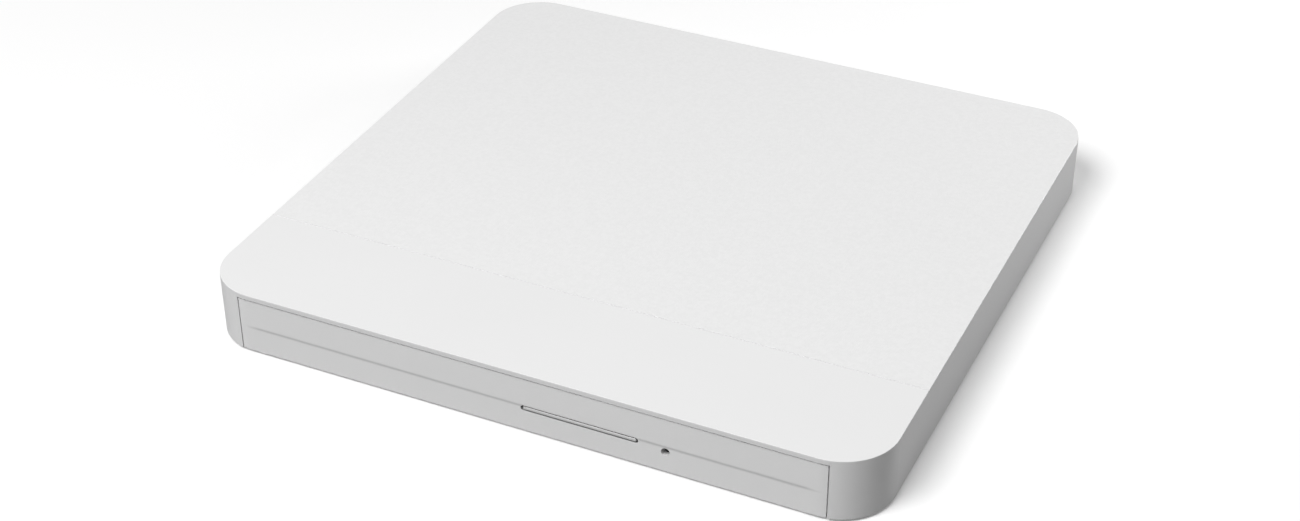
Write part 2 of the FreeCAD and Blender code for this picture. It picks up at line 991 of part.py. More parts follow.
def damper_places():
    """Three soft mounts of the traverse, in its own frame."""
    rear_u = 5.0 - frame_half_width
    rear_v = frame_half_width - 3.0
    side_v = frame_half_width + bush_radius - 0.3
    return [(rear_u, rear_v), (rear_u, -rear_v), (traverse_room - 7.4 - side_v, -side_v)]


bush_radius = 2.9
bush_neck = 1.9
bush_flange = 0.4
damper_screw_radius = 0.8
damper_screw_head = 2.2


def tray_fixings():
    """Posts, ribs and stops moulded under the tray."""
    parts = []
    for u, v in damper_places():
        post = disc(bush_radius, frame_top + bush_flange, tray_under + 0.5, u, v)
        hole = disc(damper_screw_radius + fixed_clearance, 0, tray_under, u, v)
        parts.append(on_traverse(post.cut(hole)))
    x, y = latch_pivot()
    parts.append(disc(pivot_radius, tray_bottom + 0.1, rim_underside + 0.3, x, y))
    parts.append(disc(pivot_radius + 1.0, latch_top + face_clearance, rim_underside + 0.3, x, y))
    parts.append(spring_post())
    parts.append(ejector_barrel())
    parts += board_clips()
    parts += tray_ribs()
    return parts


rib_half = 0.5
rib_pitch = 14.0
rib_inset = 14.9


def tray_ribs():
    """Stiffening ribs under the disc floor, clear of the traverse, the cable and the board."""
    low = tray_bottom + 0.2
    high = tray_under + 0.5
    web = tray_half - tray_web / 2
    wing = 2 * rib_pitch + rib_half
    ribs = []
    # The left wing, between the traverse and the side
    first_y = spindle_y - 1.0
    last_y = first_y + 2 * rib_pitch
    for y in (first_y, first_y + rib_pitch, last_y):
        ribs.append(rib_x(-web, rib_inset - tray_half + rib_pitch, y, low, high))
    for x in (rib_inset - tray_half, rib_inset - tray_half + rib_pitch - 1.0):
        ribs.append(rib_y(x, first_y, last_y, low, high))
    # The right wing, between the traverse and the cable
    right = cable_x - cable_width / 2 - 3.0
    front = spindle_y - wing - 8.5
    for x, y in ((17.5, front), (17.5, front + rib_pitch), (24.0, front + 2 * rib_pitch)):
        ribs.append(rib_x(x, right, y, low, high))
    ribs.append(rib_y(18.0, front, front + 18.0, low, high))
    ribs.append(rib_y(right - rib_half, front, front + 2 * rib_pitch, low, high))
    # Over the board they are shallower
    for y in (board_front + 3.5, board_front + 15.5):
        ribs.append(rib_x(-web, right - 1.0, y, rear_window_top, high))
    for x in (-3 * rib_pitch + 6.0, -rib_pitch + 2.0, rib_pitch - 2.0):
        ribs.append(rib_y(x, board_front + 3.5, tray_rear - 1, rear_window_top, high))
    return ribs


def rib_x(x0, x1, y, low, high):
    """A rib that runs across the drive."""
    return block(x0, x1, y - rib_half, y + rib_half, low, high)


def rib_y(x, y0, y1, low, high):
    """A rib that runs from front to back."""
    return block(x - rib_half, x + rib_half, y0, y1, low, high)


def spring_post():
    """The stop that the latch spring pushes against."""
    x, y = latch_spring_place()
    return block(
        x - 1.5, x + 1.5, y + latch_spring_length, y + latch_spring_length + 1.2,
        tray_bottom + 0.1, rim_underside + 0.3,
    )


# ---------------------------------------------------------------- tray cover plate
cover_plate_sheet = 0.3
cover_plate_margin = 3.4
keyhole_half_width = pickup_half_width + 1.2


def cover_plate_blank(clearance, low, high):
    """The plate's outline, round at the disc motor's end."""
    half = opening_half_width + cover_plate_margin - clearance
    outline = traverse_outline(half, half, opening_front, traverse_room + cover_plate_margin)
    blank = prism(outline, low, high)
    return round_uprights(blank, 0.6 * half, lambda u, v: u < 0)


def plate_screw_places():
    strip = opening_half_width + cover_plate_margin / 2
    return [(-strip, 0.0), (20.0, strip), (20.0, -strip), (45.0, strip), (45.0, -strip)]


plate_screw_head = 1.2
plate_screw_shank = 0.6


def plate_screws():
    """Flush screws round the cover plate."""
    screws = []
    low = well_floor - cover_plate_sheet
    for u, v in plate_screw_places():
        head = disc(plate_screw_head, low, well_floor, u, v)
        shank = disc(plate_screw_shank, tray_under + 0.1, low, u, v)
        screws.append(on_traverse(join([head, shank])))
    return group(screws)


def tray_cover_plate():
    """The thin steel cover over the traverse, with a keyhole for motor and pickup."""
    low = well_floor - cover_plate_sheet
    plate = cover_plate_blank(face_clearance, low, well_floor)
    plate = plate.common(disc(well_radius - face_clearance, 0, tray_top))
    for u, v in plate_screw_places():
        plate = plate.cut(disc(plate_screw_head + fixed_clearance, 0, tray_top, u, v))
    hub_hole = disc(turntable_radius + 1.0, low - 1, well_floor + 1)
    slot = block(0, well_radius - 1.4, -keyhole_half_width, keyhole_half_width,
                 low - 1, well_floor + 1)
    upright = [e for e in slot.Edges if abs(e.tangentAt(e.FirstParameter).z) > 0.9
               and e.BoundBox.XMin > 1]
    slot = slot.makeFillet(3.0, upright)
    return on_traverse(plate.cut(hub_hole).cut(slot))


# ---------------------------------------------------------------- traverse
motor_hole = rotor_radius + 0.6
pickup_room_start = motor_hole + 0.9
pickup_room_end = opening_front + 0.2


def traverse_frame():
    outline = traverse_outline(frame_half_width, frame_half_width,
                               opening_front + frame_end_width, traverse_room - 1.2)
    plate = prism(outline, frame_bottom, frame_top)
    plate = round_uprights(plate, 4.5, lambda u, v: u < 0)
    start = lead_end + 0.2 + bracket_thickness - loose_clearance
    plate = plate.cut(block(start, traverse_room, lead_screw_offset - stepper_radius - 0.2,
                            traverse_room, 0, tray_top))
    third = damper_places()[2]
    ear = disc(bush_radius + 1.4, frame_bottom, frame_top, third[0], third[1])
    plate = join([plate, ear])
    plate = plate.cut(disc(motor_hole, 0, tray_top))
    room = traverse_outline(pickup_room_half, -pickup_room_start, pickup_room_end,
                            traverse_room - 2.4)
    plate = plate.cut(prism(room, 0, tray_top))
    for u, v in damper_places():
        plate = plate.cut(disc(bush_neck, 0, tray_top, u, v))
    return on_traverse(plate)


def damper_bushes():
    """Rubber grommets, waisted round the frame."""
    bushes = []
    for u, v in damper_places():
        low = disc(bush_radius, frame_bottom - bush_flange, frame_bottom, u, v)
        neck = disc(bush_neck, frame_bottom, frame_top, u, v)
        high = disc(bush_radius, frame_top, frame_top + bush_flange, u, v)
        bush = join([low, neck, high])
        hole = disc(damper_screw_radius + fixed_clearance, 0, tray_top, u, v)
        bushes.append(on_traverse(bush.cut(hole)))
    return group(bushes)


def damper_screws():
    screws = []
    for u, v in damper_places():
        seat = frame_bottom - bush_flange
        head = disc(damper_screw_head, seat - 0.4, seat, u, v)
        shank = disc(damper_screw_radius, seat, tray_under - 0.1, u, v)
        screws.append(on_traverse(join([head, shank])))
    return group(screws)


rod_z = frame_top + rod_radius + 0.05
rod_start = motor_hole
rod_end = traverse_room - rod_offset - rod_end_gap
holder_length = 2.2


def guide_rod(side):
    rod = bar(rod_radius, Vector(rod_start, side * rod_offset, rod_z),
              rod_end - rod_start, Vector(1, 0, 0))
    return on_traverse(rod)


def rod_holders():
    """Four clips that hold the rod ends on the frame."""
    clips = []
    for side in (-1, 1):
        for u in (rod_start, rod_end - holder_length):
            clip = block(
                u, u + holder_length,
                side * rod_offset - 1.8, side * rod_offset + 1.8,
                frame_top, rod_z + rod_radius + 0.5,
            )
            hole = bar(rod_radius, Vector(u - 1, side * rod_offset, rod_z),
                       holder_length + 2, Vector(1, 0, 0))
            clips.append(on_traverse(clip.cut(hole)))
    return group(clips)


lead_z = chassis_floor + stepper_radius + 0.5
journal_radius = 0.6
journal_length = 1.2
bracket_thickness = 1.6
lead_start = pickup_room_start + 4.0
motor_reach = lead_screw_offset + stepper_radius + stepper_length + bracket_thickness + 0.2
lead_end = (
    math.sqrt(2) * (spindle_y - tray_front - tray_front_wall - stepper_wall_gap) - motor_reach
)


def lead_screw():
    body = bar(lead_screw_radius, Vector(lead_start, lead_screw_offset, lead_z),
               lead_end - lead_start, Vector(1, 0, 0))
    tip = bar(journal_radius, Vector(lead_start - journal_length, lead_screw_offset, lead_z),
              journal_length, Vector(1, 0, 0))
    tail = bar(journal_radius, Vector(lead_end, lead_screw_offset, lead_z),
               journal_length, Vector(1, 0, 0))
    return on_traverse(join([body, tip, tail]))


def stepper_motor():
    """The feed motor with its bracket and the bearing for the screw's free end."""
    along = Vector(1, 0, 0)
    near = lead_end + 0.2
    start = near + bracket_thickness
    can = bar(stepper_radius, Vector(start, lead_screw_offset, lead_z), stepper_length, along)
    top = well_floor - cover_plate_sheet - loose_clearance
    half = journal_radius + 0.7
    bracket = block(near, start, lead_screw_offset - half, lead_screw_offset + half,
                    frame_top, top)
    bearing = block(lead_start - journal_length - 0.2, lead_start - 0.2,
                    lead_screw_offset - half, lead_screw_offset + half, frame_top, top)
    bore = bar(journal_radius + shaft_clearance,
               Vector(0, lead_screw_offset, lead_z), start - 0.2, along)
    motor = join([can, bracket]).cut(bore)
    return group([on_traverse(motor), on_traverse(bearing.cut(bore))])


# ---------------------------------------------------------------- disc motor
stator_base = 0.6
sleeve_radius = 2.2
rotor_skirt = 0.8
rotor_top_z = well_floor - 1.0
rotor_bottom_z = frame_top - 0.4


def motor_stator():
    """Base plate, coil ring and bearing sleeve."""
    low = frame_bottom - stator_base
    base = disc(rotor_radius + 2.0, low, frame_bottom)
    sleeve = disc(sleeve_radius, low, rotor_top_z - 1.2)
    coils = ring(rotor_radius - 2.6, sleeve_radius + 1.2, frame_bottom + 0.2, rotor_top_z - 1.2)
    spokes = [
        block(-0.8, 0.8, 0, rotor_radius - 2.6, frame_bottom, frame_bottom + 1.0).rotated(
            Vector(0, 0, 0), UP, 40 * n)
        for n in range(9)
    ]
    body = join([base, sleeve, coils] + spokes)
    bore = disc(shaft_radius + shaft_clearance, frame_bottom, rotor_top_z + 1)
    return on_traverse(body.cut(bore))


def claw_angles():
    return [0.0, 120.0, 240.0]


hub_top = plate_bottom - loose_clearance
claw_low = disc_seat + 0.1
claw_high = hub_top - 0.45
claw_slot_inner = 2.4
claw_inner = claw_slot_inner + 2 * claw_travel


def claw_slot(angle):
    """The radial guideway of one claw in the hub."""
    half = claw_width / 2 + face_clearance
    room = block(claw_slot_inner, hub_radius + 1, -half, half,
                 claw_low - face_clearance, claw_high + face_clearance)
    return room.rotated(Vector(0, 0, 0), UP, angle)


def turntable():
    """Rotor cup, turntable and centring hub in one turning piece."""
    shaft = disc(shaft_radius, frame_bottom + 0.2, rotor_top_z)
    skirt = ring(rotor_radius, rotor_radius - rotor_skirt, rotor_bottom_z, rotor_top_z)
    roof = disc(rotor_radius, rotor_top_z - 0.6, rotor_top_z)
    table = disc(turntable_radius, rotor_top_z, disc_seat - ring_height)
    boss = disc(turntable_radius - turntable_ring_width - face_clearance,
                disc_seat - ring_height, disc_seat - face_clearance)
    hub = disc(hub_radius, disc_seat - ring_height, hub_top)
    hub = hub.makeChamfer(0.6, edges_at(hub, hub_top))
    body = join([shaft, skirt, roof, table, boss, hub])
    for angle in claw_angles():
        body = body.cut(claw_slot(angle))
    return body.translated(Vector(0, spindle_y, 0))


ring_height = 0.4


def turntable_ring():
    """The rubber ring that the disc rests on."""
    pad = ring(turntable_radius, turntable_radius - turntable_ring_width,
               disc_seat - ring_height, disc_seat)
    return pad.translated(Vector(0, spindle_y, 0))


claw_reach = 0.65


def hub_claw(angle):
    """A sprung claw whose nose holds the disc down."""
    half = claw_width / 2
    nose_low = disc_seat + disc_thickness + 0.05
    profile = [
        (claw_inner, claw_low),
        (hub_radius - 0.15, claw_low),
        (hub_radius - 0.15, nose_low - 0.35),
        (hub_radius + claw_reach, nose_low),
        (hub_radius + claw_reach, nose_low + 0.15),
        (hub_radius - 0.1, claw_high),
        (claw_inner, claw_high),
    ]
    points = [Vector(x, -half, z) for x, z in profile]
    face = Part.Face(Part.makePolygon(points + points[:1]))
    body = face.extrude(Vector(0, claw_width, 0))
    turned = body.rotated(Vector(0, 0, 0), UP, angle)
    return turned.translated(Vector(0, spindle_y, 0))


def claw_springs():
    springs = []
    mid = (claw_low + claw_high) / 2
    for angle in claw_angles():
        start = Vector(claw_slot_inner, 0, mid)
        length = claw_inner - claw_slot_inner
        coil = bar(0.6, start, length, Vector(1, 0, 0))
        springs.append(coil.rotated(Vector(0, 0, 0), UP, angle).translated(
            Vector(0, spindle_y, 0)))
    return group(springs)


# ---------------------------------------------------------------- pickup
pickup_bottom = chassis_floor + 0.8
pickup_top = well_floor - 1.0
pickup_arm_back = 4.0
pocket_half_u = 5.0
pocket_half_v = 7.0


def at_lens(shape):
    """From the lens axis to the traverse's own frame, at the innermost track."""
    return on_traverse(shape.translated(Vector(lens_inner_radius, 0, 0)))


def pickup_body():
    """The cast pickup body, which slides on the two rods."""
    core = block(-pickup_inward, pickup_outward, -pickup_half_width, pickup_half_width,
                 pickup_bottom, pickup_top)
    chamfer = pickup_arm_half - pickup_half_width
    arms = prism([
        (-pickup_arm_back, -pickup_arm_half),
        (pickup_outward - chamfer, -pickup_arm_half),
        (pickup_outward, -pickup_half_width),
        (pickup_outward, pickup_half_width),
        (pickup_outward - chamfer, pickup_arm_half),
        (-pickup_arm_back, pickup_arm_half),
    ], pickup_bottom + 0.4, rod_z + rod_radius + 0.5)
    body = join([core, arms])
    body = body.cut(disc(turntable_radius + 1.2, 0, tray_top, -lens_inner_radius, 0))
    body = body.cut(block(-pocket_half_u, pocket_half_u, -pocket_half_v, pocket_half_v,
                          pickup_bottom + 0.8, tray_top))
    for side in (-1, 1):
        bore = bar(rod_radius + rod_clearance, Vector(-pickup_inward - 1, side * rod_offset, rod_z),
                   pickup_inward + pickup_outward + 2, Vector(1, 0, 0))
        body = body.cut(bore)
    return at_lens(body)


def pickup_yoke():
    """Steel yoke with the two magnets that drive the lens."""
    low = pickup_bottom + 0.8
    base = block(-pocket_half_u + 0.1, pocket_half_u - 0.1, -2.5, 2.5, low, low + 0.4)
    walls = [
        block(s * (pocket_half_u - 0.6) - 0.5, s * (pocket_half_u - 0.6) + 0.5, -2.5, 2.5,
              low, pickup_top + 0.3)
        for s in (-1, 1)
    ]
    return at_lens(join([base] + walls))


holder_half_u = 2.9
holder_half_v = 5.2
focus_travel = 0.4
holder_low = pickup_bottom + focus_travel + 1.5
holder_high = pickup_top + 0.2


def lens_holder():
    body = block(-holder_half_u, holder_half_u, -holder_half_v, holder_half_v,
                 holder_low, holder_high)
    upright = [e for e in body.Edges if abs(e.tangentAt(e.FirstParameter).z) > 0.9]
    body = body.makeChamfer(1.0, upright)
    seat = disc(lens_radius, holder_high - 0.8, holder_high + 1)
    light_path = disc(lens_radius - 0.4, 0, holder_high)
    return at_lens(body.cut(seat).cut(light_path))


def objective_lens():
    """A small domed lens."""
    low = holder_high - 0.8
    rim = disc(lens_radius, low, low + 0.4)
    sphere_radius = 2.6
    centre = low + 0.4 - math.sqrt(sphere_radius ** 2 - (lens_radius - 0.1) ** 2)
    ball = Part.makeSphere(sphere_radius, Vector(0, 0, centre))
    cap = ball.common(disc(lens_radius - 0.1, low + 0.4, low + 3))
    return at_lens(join([rim, cap]))


def suspension_wires():
    """Four fine wires that carry the lens holder, and the block that holds them."""
    wires = []
    wire_half = 0.06
    anchor = pocket_half_u - 0.2
    for side in (-1, 1):
        for z in (holder_low + 0.4, holder_high - 0.9):
            v = side * (holder_half_v + wire_half)
            wires.append(block(-anchor, holder_half_u - 1.2, v - wire_half, v + wire_half,
                               z - wire_half, z + wire_half))
        post = side * (holder_half_v + 0.5)
        wires.append(block(-anchor, -anchor + 0.8, post - 0.5, post + 0.5,
                           pickup_bottom + 0.8, pickup_top))
    sides = [join(wires[0:3]), join(wires[3:6])]
    return group([at_lens(s) for s in sides])


def rack_follower():
    """The toothed saddle that couples the pickup to the lead screw."""
    body = block(-3.0, 1.0, pickup_arm_half, lead_screw_offset, frame_top + 0.2, lead_z + 1.2)
    groove = bar(lead_screw_radius + face_clearance / 2,
                 Vector(-4, lead_screw_offset, lead_z), 8, Vector(1, 0, 0))
    return at_lens(body.cut(groove))


# ---------------------------------------------------------------- bezel and button
def front_bezel():
    room = block(-bezel_half, bezel_half, front_y - 1, tray_front, shell_bottom - 1, bezel_top)
    body = outer_form().translated(Vector(0, bezel_setback, 0)).common(room)
    rounded = [
        e for e in body.Edges
        if abs(e.BoundBox.ZMax - bezel_top) < 1e-4 and abs(e.BoundBox.ZMin - bezel_top) < 1e-4
        and e.BoundBox.YMax < tray_front - wall / 2
    ]
    body = body.makeFillet(bezel_edge_radius, rounded)
    body = body.cut(crease())
    slot = stadium_y(
        button_length + 2 * button_side_gap,
        button_height + button_upper_gap + button_lower_gap,
        button_centre_x, button_z + (button_upper_gap - button_lower_gap) / 2,
        front_y - 1, tray_front + 1,
    )
    hole = bar(emergency_radius, Vector(emergency_x, front_y - 1, emergency_z),
               wall + 2, Vector(0, 1, 0))
    body = body.cut(slot).cut(hole)
    return join([body] + bezel_lugs())


def crease():
    """What the crease takes off: below it the face steps back, from end to end of its length."""
    reach = 0.5
    end = bezel_half - crease_end_margin
    corners = [
        Vector(-end, bezel_front - reach, crease_z + crease_width / 2),
        Vector(-end, bezel_front, crease_z + crease_width / 2),
        Vector(-end, bezel_front + crease_depth, crease_z - crease_width / 2),
        Vector(-end, bezel_front + crease_depth, shell_bottom - 1),
        Vector(-end, bezel_front - reach, shell_bottom - 1),
    ]
    profile = Part.Face(Part.makePolygon(corners + corners[:1]))
    return profile.extrude(Vector(2 * end, 0, 0))


lug_places = (-48.0, -16.0, 42.0)


def lug_box(x, clearance):
    return block(
        x - 3.0 - clearance, x + 3.0 + clearance,
        tray_front - wall / 2, tray_front + tray_front_wall + 0.8,
        tray_bottom + 0.2 - clearance, tray_bottom + 1.2 + clearance,
    )


def bezel_lugs():
    """Tabs that reach into slots in the tray's front wall."""
    return [lug_box(x, 0) for x in lug_places]


button_flange_margin = 0.8
button_flange = 0.7
button_chamfer = 0.08


def eject_button():
    flange_front = tray_front + face_clearance
    face = stadium_y(button_length, button_height, button_centre_x, button_z,
                     bezel_front + button_recess, flange_front)
    front_edges = [
        e for e in face.Edges
        if abs(e.BoundBox.YMax - (bezel_front + button_recess)) < 1e-4
    ]
    face = face.makeChamfer(button_chamfer, front_edges)
    flange = block(
        button_centre_x - button_length / 2 - button_flange_margin,
        button_centre_x + button_length / 2 + button_flange_margin,
        flange_front, flange_front + button_flange,
        button_z - button_height / 2 - button_flange_margin,
        button_z + button_height / 2 + button_flange_margin,
    )
    stem = block(
        button_centre_x - 1.0, button_centre_x + 1.0,
        flange_front + button_flange, switch_front - plunger_proud - 0.05,
        switch_z - 0.6, switch_z + 0.6,
    )
    return join([face, flange, stem])


panel_board_bottom = tray_bottom + 0.2
panel_board_top = panel_board_bottom + 0.6
switch_front = tray_front + 3.1
switch_z = panel_board_top + 1.0
plunger_proud = button_travel + 0.5
plunger_radius = 0.6


panel_board_left = button_centre_x - 8.8
panel_board_right = button_centre_x + 13.7
panel_board_rear = tray_front + 9.0


def button_board():
    """The small board behind the bezel that carries the switch and the lamp."""
    return block(panel_board_left, panel_board_right, tray_front + 2.6, panel_board_rear,
                 panel_board_bottom, panel_board_top)


def board_clips():
    """Posts moulded under the tray that the button board is fixed to."""
    posts = []
    for x in (panel_board_left + 1.0, panel_board_right - 3.0):
        posts.append(block(x, x + 2.0, panel_board_rear - 2.4, panel_board_rear - 0.4,
                           panel_board_top, rim_underside + 0.3))
    return posts


def eject_switch():
    body = block(button_centre_x - 2.5, button_centre_x + 2.5, switch_front, switch_front + 3.0,
                 panel_board_top, panel_board_top + 1.8)
    bore = bar(plunger_radius + 0.05, Vector(button_centre_x, switch_front - 1, switch_z),
               2.6, Vector(0, 1, 0))
    return body.cut(bore)


def switch_plunger():
    return bar(plunger_radius, Vector(button_centre_x, switch_front - plunger_proud, switch_z),
               plunger_proud + 0.8, Vector(0, 1, 0))


def status_lamp():
    left = panel_board_right - 7.3
    return block(left, left + 1.6, switch_front - 0.2, switch_front + 0.6,
                 panel_board_top, panel_board_top + 0.8)


# ---------------------------------------------------------------- latch
latch_middle = emergency_z
latch_bottom = latch_middle - latch_thickness / 2
latch_top = latch_middle + latch_thickness / 2
latch_arm_width = 2.0
tail_half = 1.2
latch_spring_length = 4.0
link_x = tray_half - latch_to_side - link_reach
link_radius = 0.5
link_play = 0.1
fork_sheet = 0.5
solenoid_front = tray_front + 11.2
solenoid_length = 10.0
solenoid_half = 3.4
plunger_rod_radius = 0.8
plunger_travel = 3.9
rod_in_coil = 4.0


def latch_lever():
    """Hook, hub and tail in one lever, with a pad behind the emergency hole."""
    px, py = latch_pivot()
    sx, sy = striker_place()
    face_y = sy + striker_radius + face_clearance
    arm_left = sx + striker_radius + 0.7
    arm_right = arm_left + latch_arm_width
    arm = prism([
        (px, py - 1.6),
        (px + 2.2, py - 1.2),
        (arm_right, py + 2.6),
        (arm_right, face_y + 1.0),
        (arm_right - 1.0, face_y + 2.0),
        (sx - 0.3, face_y + 1.2),
        (sx - 0.9, face_y + 0.5),
        (sx - 0.9, face_y),
        (arm_left, face_y),
        (arm_left, py + 3.2),
        (px, py + 1.6),
    ], latch_bottom, latch_top)
    hub = disc(pivot_radius + 1.3, latch_bottom, latch_top, px, py)
    tail = prism([
        (px, py - tail_half),
        (emergency_x - 1.6, py - tail_half),
        (emergency_x - 1.6, py + tail_half),
        (px, py + tail_half),
    ], latch_bottom, latch_top)
    body = join([arm, hub, tail])
    body = body.cut(disc(pivot_radius + 0.05, 0, tray_top, px, py))
    half = link_radius + link_play
    near = disc(half, 0, tray_top, link_x, py)
    far_x = link_x - (px - link_x) * (1 / math.cos(math.radians(latch_angle)) - 1)
    far = disc(half, 0, tray_top, far_x, py)
    middle = block(far_x, link_x, py - half, py + half, 0, tray_top)
    return body.cut(join([near, far, middle]))


def latch_spring_place():
    px, py = latch_pivot()
    return (px - link_reach / 2, py + tail_half + 0.05)


def latch_spring():
    """A coil that presses the lever's tail forwards."""
    x, y = latch_spring_place()
    start = Vector(x, y, latch_middle)
    along = Vector(0, 1, 0)
    length = latch_spring_length - 0.05
    return bar(0.8, start, length, along).cut(bar(0.5, start, length, along))


def solenoid_axis(y):
    return Vector(link_x, y, latch_middle)


def solenoid():
    """A coil between the cheeks of a folded steel yoke."""
    rear = solenoid_front + solenoid_length
    cheek = 0.8
    low = latch_middle - 1.3
    along = Vector(0, 1, 0)
    roof = block(link_x - solenoid_half, link_x + solenoid_half, solenoid_front, rear,
                 tray_under - 0.3, tray_under)
    cheeks = [
        block(link_x - solenoid_half, link_x + solenoid_half, y, y + cheek, low, tray_under)
        for y in (solenoid_front, rear - cheek)
    ]
    coil = bar(2.4, solenoid_axis(solenoid_front + cheek), solenoid_length - 2 * cheek, along)
    coil = coil.common(block(link_x - 5, link_x + 5, solenoid_front, rear, low, tray_under))
    bore = bar(plunger_rod_radius + face_clearance, solenoid_axis(solenoid_front - 1),
               rod_in_coil + plunger_travel + 1.3, along)
    return join([roof, coil] + cheeks).cut(bore)


def solenoid_plunger():
    """The rod that the coil pulls in, with a fork over the lever's tail."""
    px, py = latch_pivot()
    along = Vector(0, 1, 0)
    bridge = py + tail_half + 0.65
    rod = bar(plunger_rod_radius, solenoid_axis(bridge),
              solenoid_front + rod_in_coil - bridge, along)
    gap = latch_thickness / 2 + 0.15
    front = py - tail_half + 0.3
    plates = [
        block(link_x - 1.1, link_x + 1.1, front, bridge + 0.8, low, low + fork_sheet)
        for low in (latch_middle - gap - fork_sheet, latch_middle + gap)
    ]
    back = block(link_x - 1.1, link_x + 1.1, bridge, bridge + 0.8,
                 latch_middle - gap, latch_middle + gap)
    pin = disc(link_radius, latch_middle - gap, latch_middle + gap, link_x, py)
    return join([rod, back, pin] + plates)


# ---------------------------------------------------------------- nodes
def mirrored(shape):
    return both_sides(shape)[1]


def nodes():
    """Every node's name and its shape."""
    made = {
        "top_cover": top_cover(),
        "bottom_cover": bottom_cover(),
        "case_screws": case_screws(),
        "drive_chassis": drive_chassis(),
        "drive_top_plate": drive_top_plate(),
        "chassis_screws": chassis_screws(),
        "rail_guide_right": rail_guide(),
        "rail_guide_left": mirrored(rail_guide()),
        "slide_rail_right": slide_rail(),
        "slide_rail_left": mirrored(slide_rail()),
        "main_board": main_board(),
        "board_chips": board_chips(),
        "usb_shell": usb_shell(),
        "usb_tongue": usb_tongue(),
        "board_cable_socket": board_cable_socket(),
        "tray_cable_socket": tray_cable_socket(),
        "cable_lower": cable_lower(),
        "cable_fold": cable_fold(),
        "cable_upper": cable_upper(),
        "striker_pin": striker_pin(),
        "tray": tray(),
        "tray_cover_plate": tray_cover_plate(),
        "plate_screws": plate_screws(),
        "traverse_frame": traverse_frame(),
        "damper_bushes": damper_bushes(),
        "damper_screws": damper_screws(),
        "guide_rod_front": guide_rod(1),
        "guide_rod_rear": guide_rod(-1),
        "rod_holders": rod_holders(),
        "lead_screw": lead_screw(),
        "stepper_motor": stepper_motor(),
        "motor_stator": motor_stator(),
        "turntable": turntable(),
        "turntable_ring": turntable_ring(),
        "claw_springs": claw_springs(),
        "pickup_body": pickup_body(),
        "pickup_yoke": pickup_yoke(),
        "rack_follower": rack_follower(),
        "lens_holder": lens_holder(),
        "objective_lens": objective_lens(),
        "suspension_wires": suspension_wires(),
        "front_bezel": front_bezel(),
        "eject_button": eject_button(),
        "button_board": button_board(),
        "eject_switch": eject_switch(),
        "switch_plunger": switch_plunger(),
        "status_lamp": status_lamp(),
        "latch_lever": latch_lever(),
        "latch_spring": latch_spring(),
        "solenoid": solenoid(),
        "solenoid_plunger": solenoid_plunger(),
        "ejector_plunger": ejector_plunger(),
        "ejector_spring": ejector_spring(),
    }
    for place in foot_places():
        made["foot_" + place] = foot(place)
    for number, angle in enumerate(claw_angles(), 1):
        made[f"hub_claw_{number}"] = hub_claw(angle)
    return made


def main():
    os.makedirs("parts", exist_ok=True)
    for name, shape in nodes().items():
        shape.exportStep(f"parts/{name}.step")
        print(f"{name:20s} solids {len(shape.Solids)} volume {shape.Volume:9.2f}")
    print(f"case {2 * case_half:.2f} x {case_depth:.2f} x {shell_top:.2f} mm")


main()
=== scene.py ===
# %% [markdown]
# # A slim external disc drive
# The drive is a flat white box round a tray mechanism. Its solid pieces already exist at their
# real size, as a frame that is loaded here and never moved. This lesson gives each piece its
# finish, adds the small repeated detail that solids leave out, and sets light and camera.
# Everything is in metres, with X to the right along the front, -Y towards the user and Z up.

# %% Load the frame
import json
import math

import bmesh
import bpy
import numpy as np
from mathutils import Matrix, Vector


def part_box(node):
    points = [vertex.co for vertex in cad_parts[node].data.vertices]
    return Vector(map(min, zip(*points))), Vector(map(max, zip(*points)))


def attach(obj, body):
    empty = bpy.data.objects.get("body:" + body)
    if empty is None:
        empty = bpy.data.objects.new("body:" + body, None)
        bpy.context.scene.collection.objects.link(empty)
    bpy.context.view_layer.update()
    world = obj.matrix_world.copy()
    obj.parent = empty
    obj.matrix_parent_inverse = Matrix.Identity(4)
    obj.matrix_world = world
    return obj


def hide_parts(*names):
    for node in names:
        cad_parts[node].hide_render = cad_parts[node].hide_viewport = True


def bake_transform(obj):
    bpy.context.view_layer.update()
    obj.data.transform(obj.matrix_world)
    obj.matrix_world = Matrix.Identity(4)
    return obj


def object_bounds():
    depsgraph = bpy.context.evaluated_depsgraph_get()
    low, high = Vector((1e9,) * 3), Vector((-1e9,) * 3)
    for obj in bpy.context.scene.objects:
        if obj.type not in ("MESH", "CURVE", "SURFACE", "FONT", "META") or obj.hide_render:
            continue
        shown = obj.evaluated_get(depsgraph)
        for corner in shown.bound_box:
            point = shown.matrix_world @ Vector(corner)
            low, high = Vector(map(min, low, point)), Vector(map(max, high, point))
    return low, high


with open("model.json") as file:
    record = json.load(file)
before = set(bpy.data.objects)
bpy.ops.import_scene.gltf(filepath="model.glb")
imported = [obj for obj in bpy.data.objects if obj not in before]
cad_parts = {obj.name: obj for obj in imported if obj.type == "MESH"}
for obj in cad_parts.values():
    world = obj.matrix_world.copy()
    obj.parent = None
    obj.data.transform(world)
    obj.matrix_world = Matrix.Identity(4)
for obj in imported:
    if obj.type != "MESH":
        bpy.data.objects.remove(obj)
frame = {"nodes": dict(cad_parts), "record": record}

MM = 0.001
cad_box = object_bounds()
case_low, case_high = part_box("top_cover")
print("case, mm:", [round(v / MM, 2) for v in case_high - case_low])

# %% [markdown]
# ## Camera
# The drive is seen from its right front corner, a little above the desk. A point on the drive,
# two angles and a distance place the camera, which keeps it level. A long lens of 62 mm keeps
# the edges close to parallel, as in a product picture.

# %% Place the camera
camera_target = Vector((-0.00321, -0.00268, -0.00166))
camera_azimuth = math.radians(24.93)
camera_elevation = math.radians(33.81)
camera_distance = 0.48089


def add_object(name, data):
    """Puts a mesh, a lamp or a camera into the scene as an object of its own."""
    made = bpy.data.objects.new(name, data)
    bpy.context.scene.collection.objects.link(made)
    return made


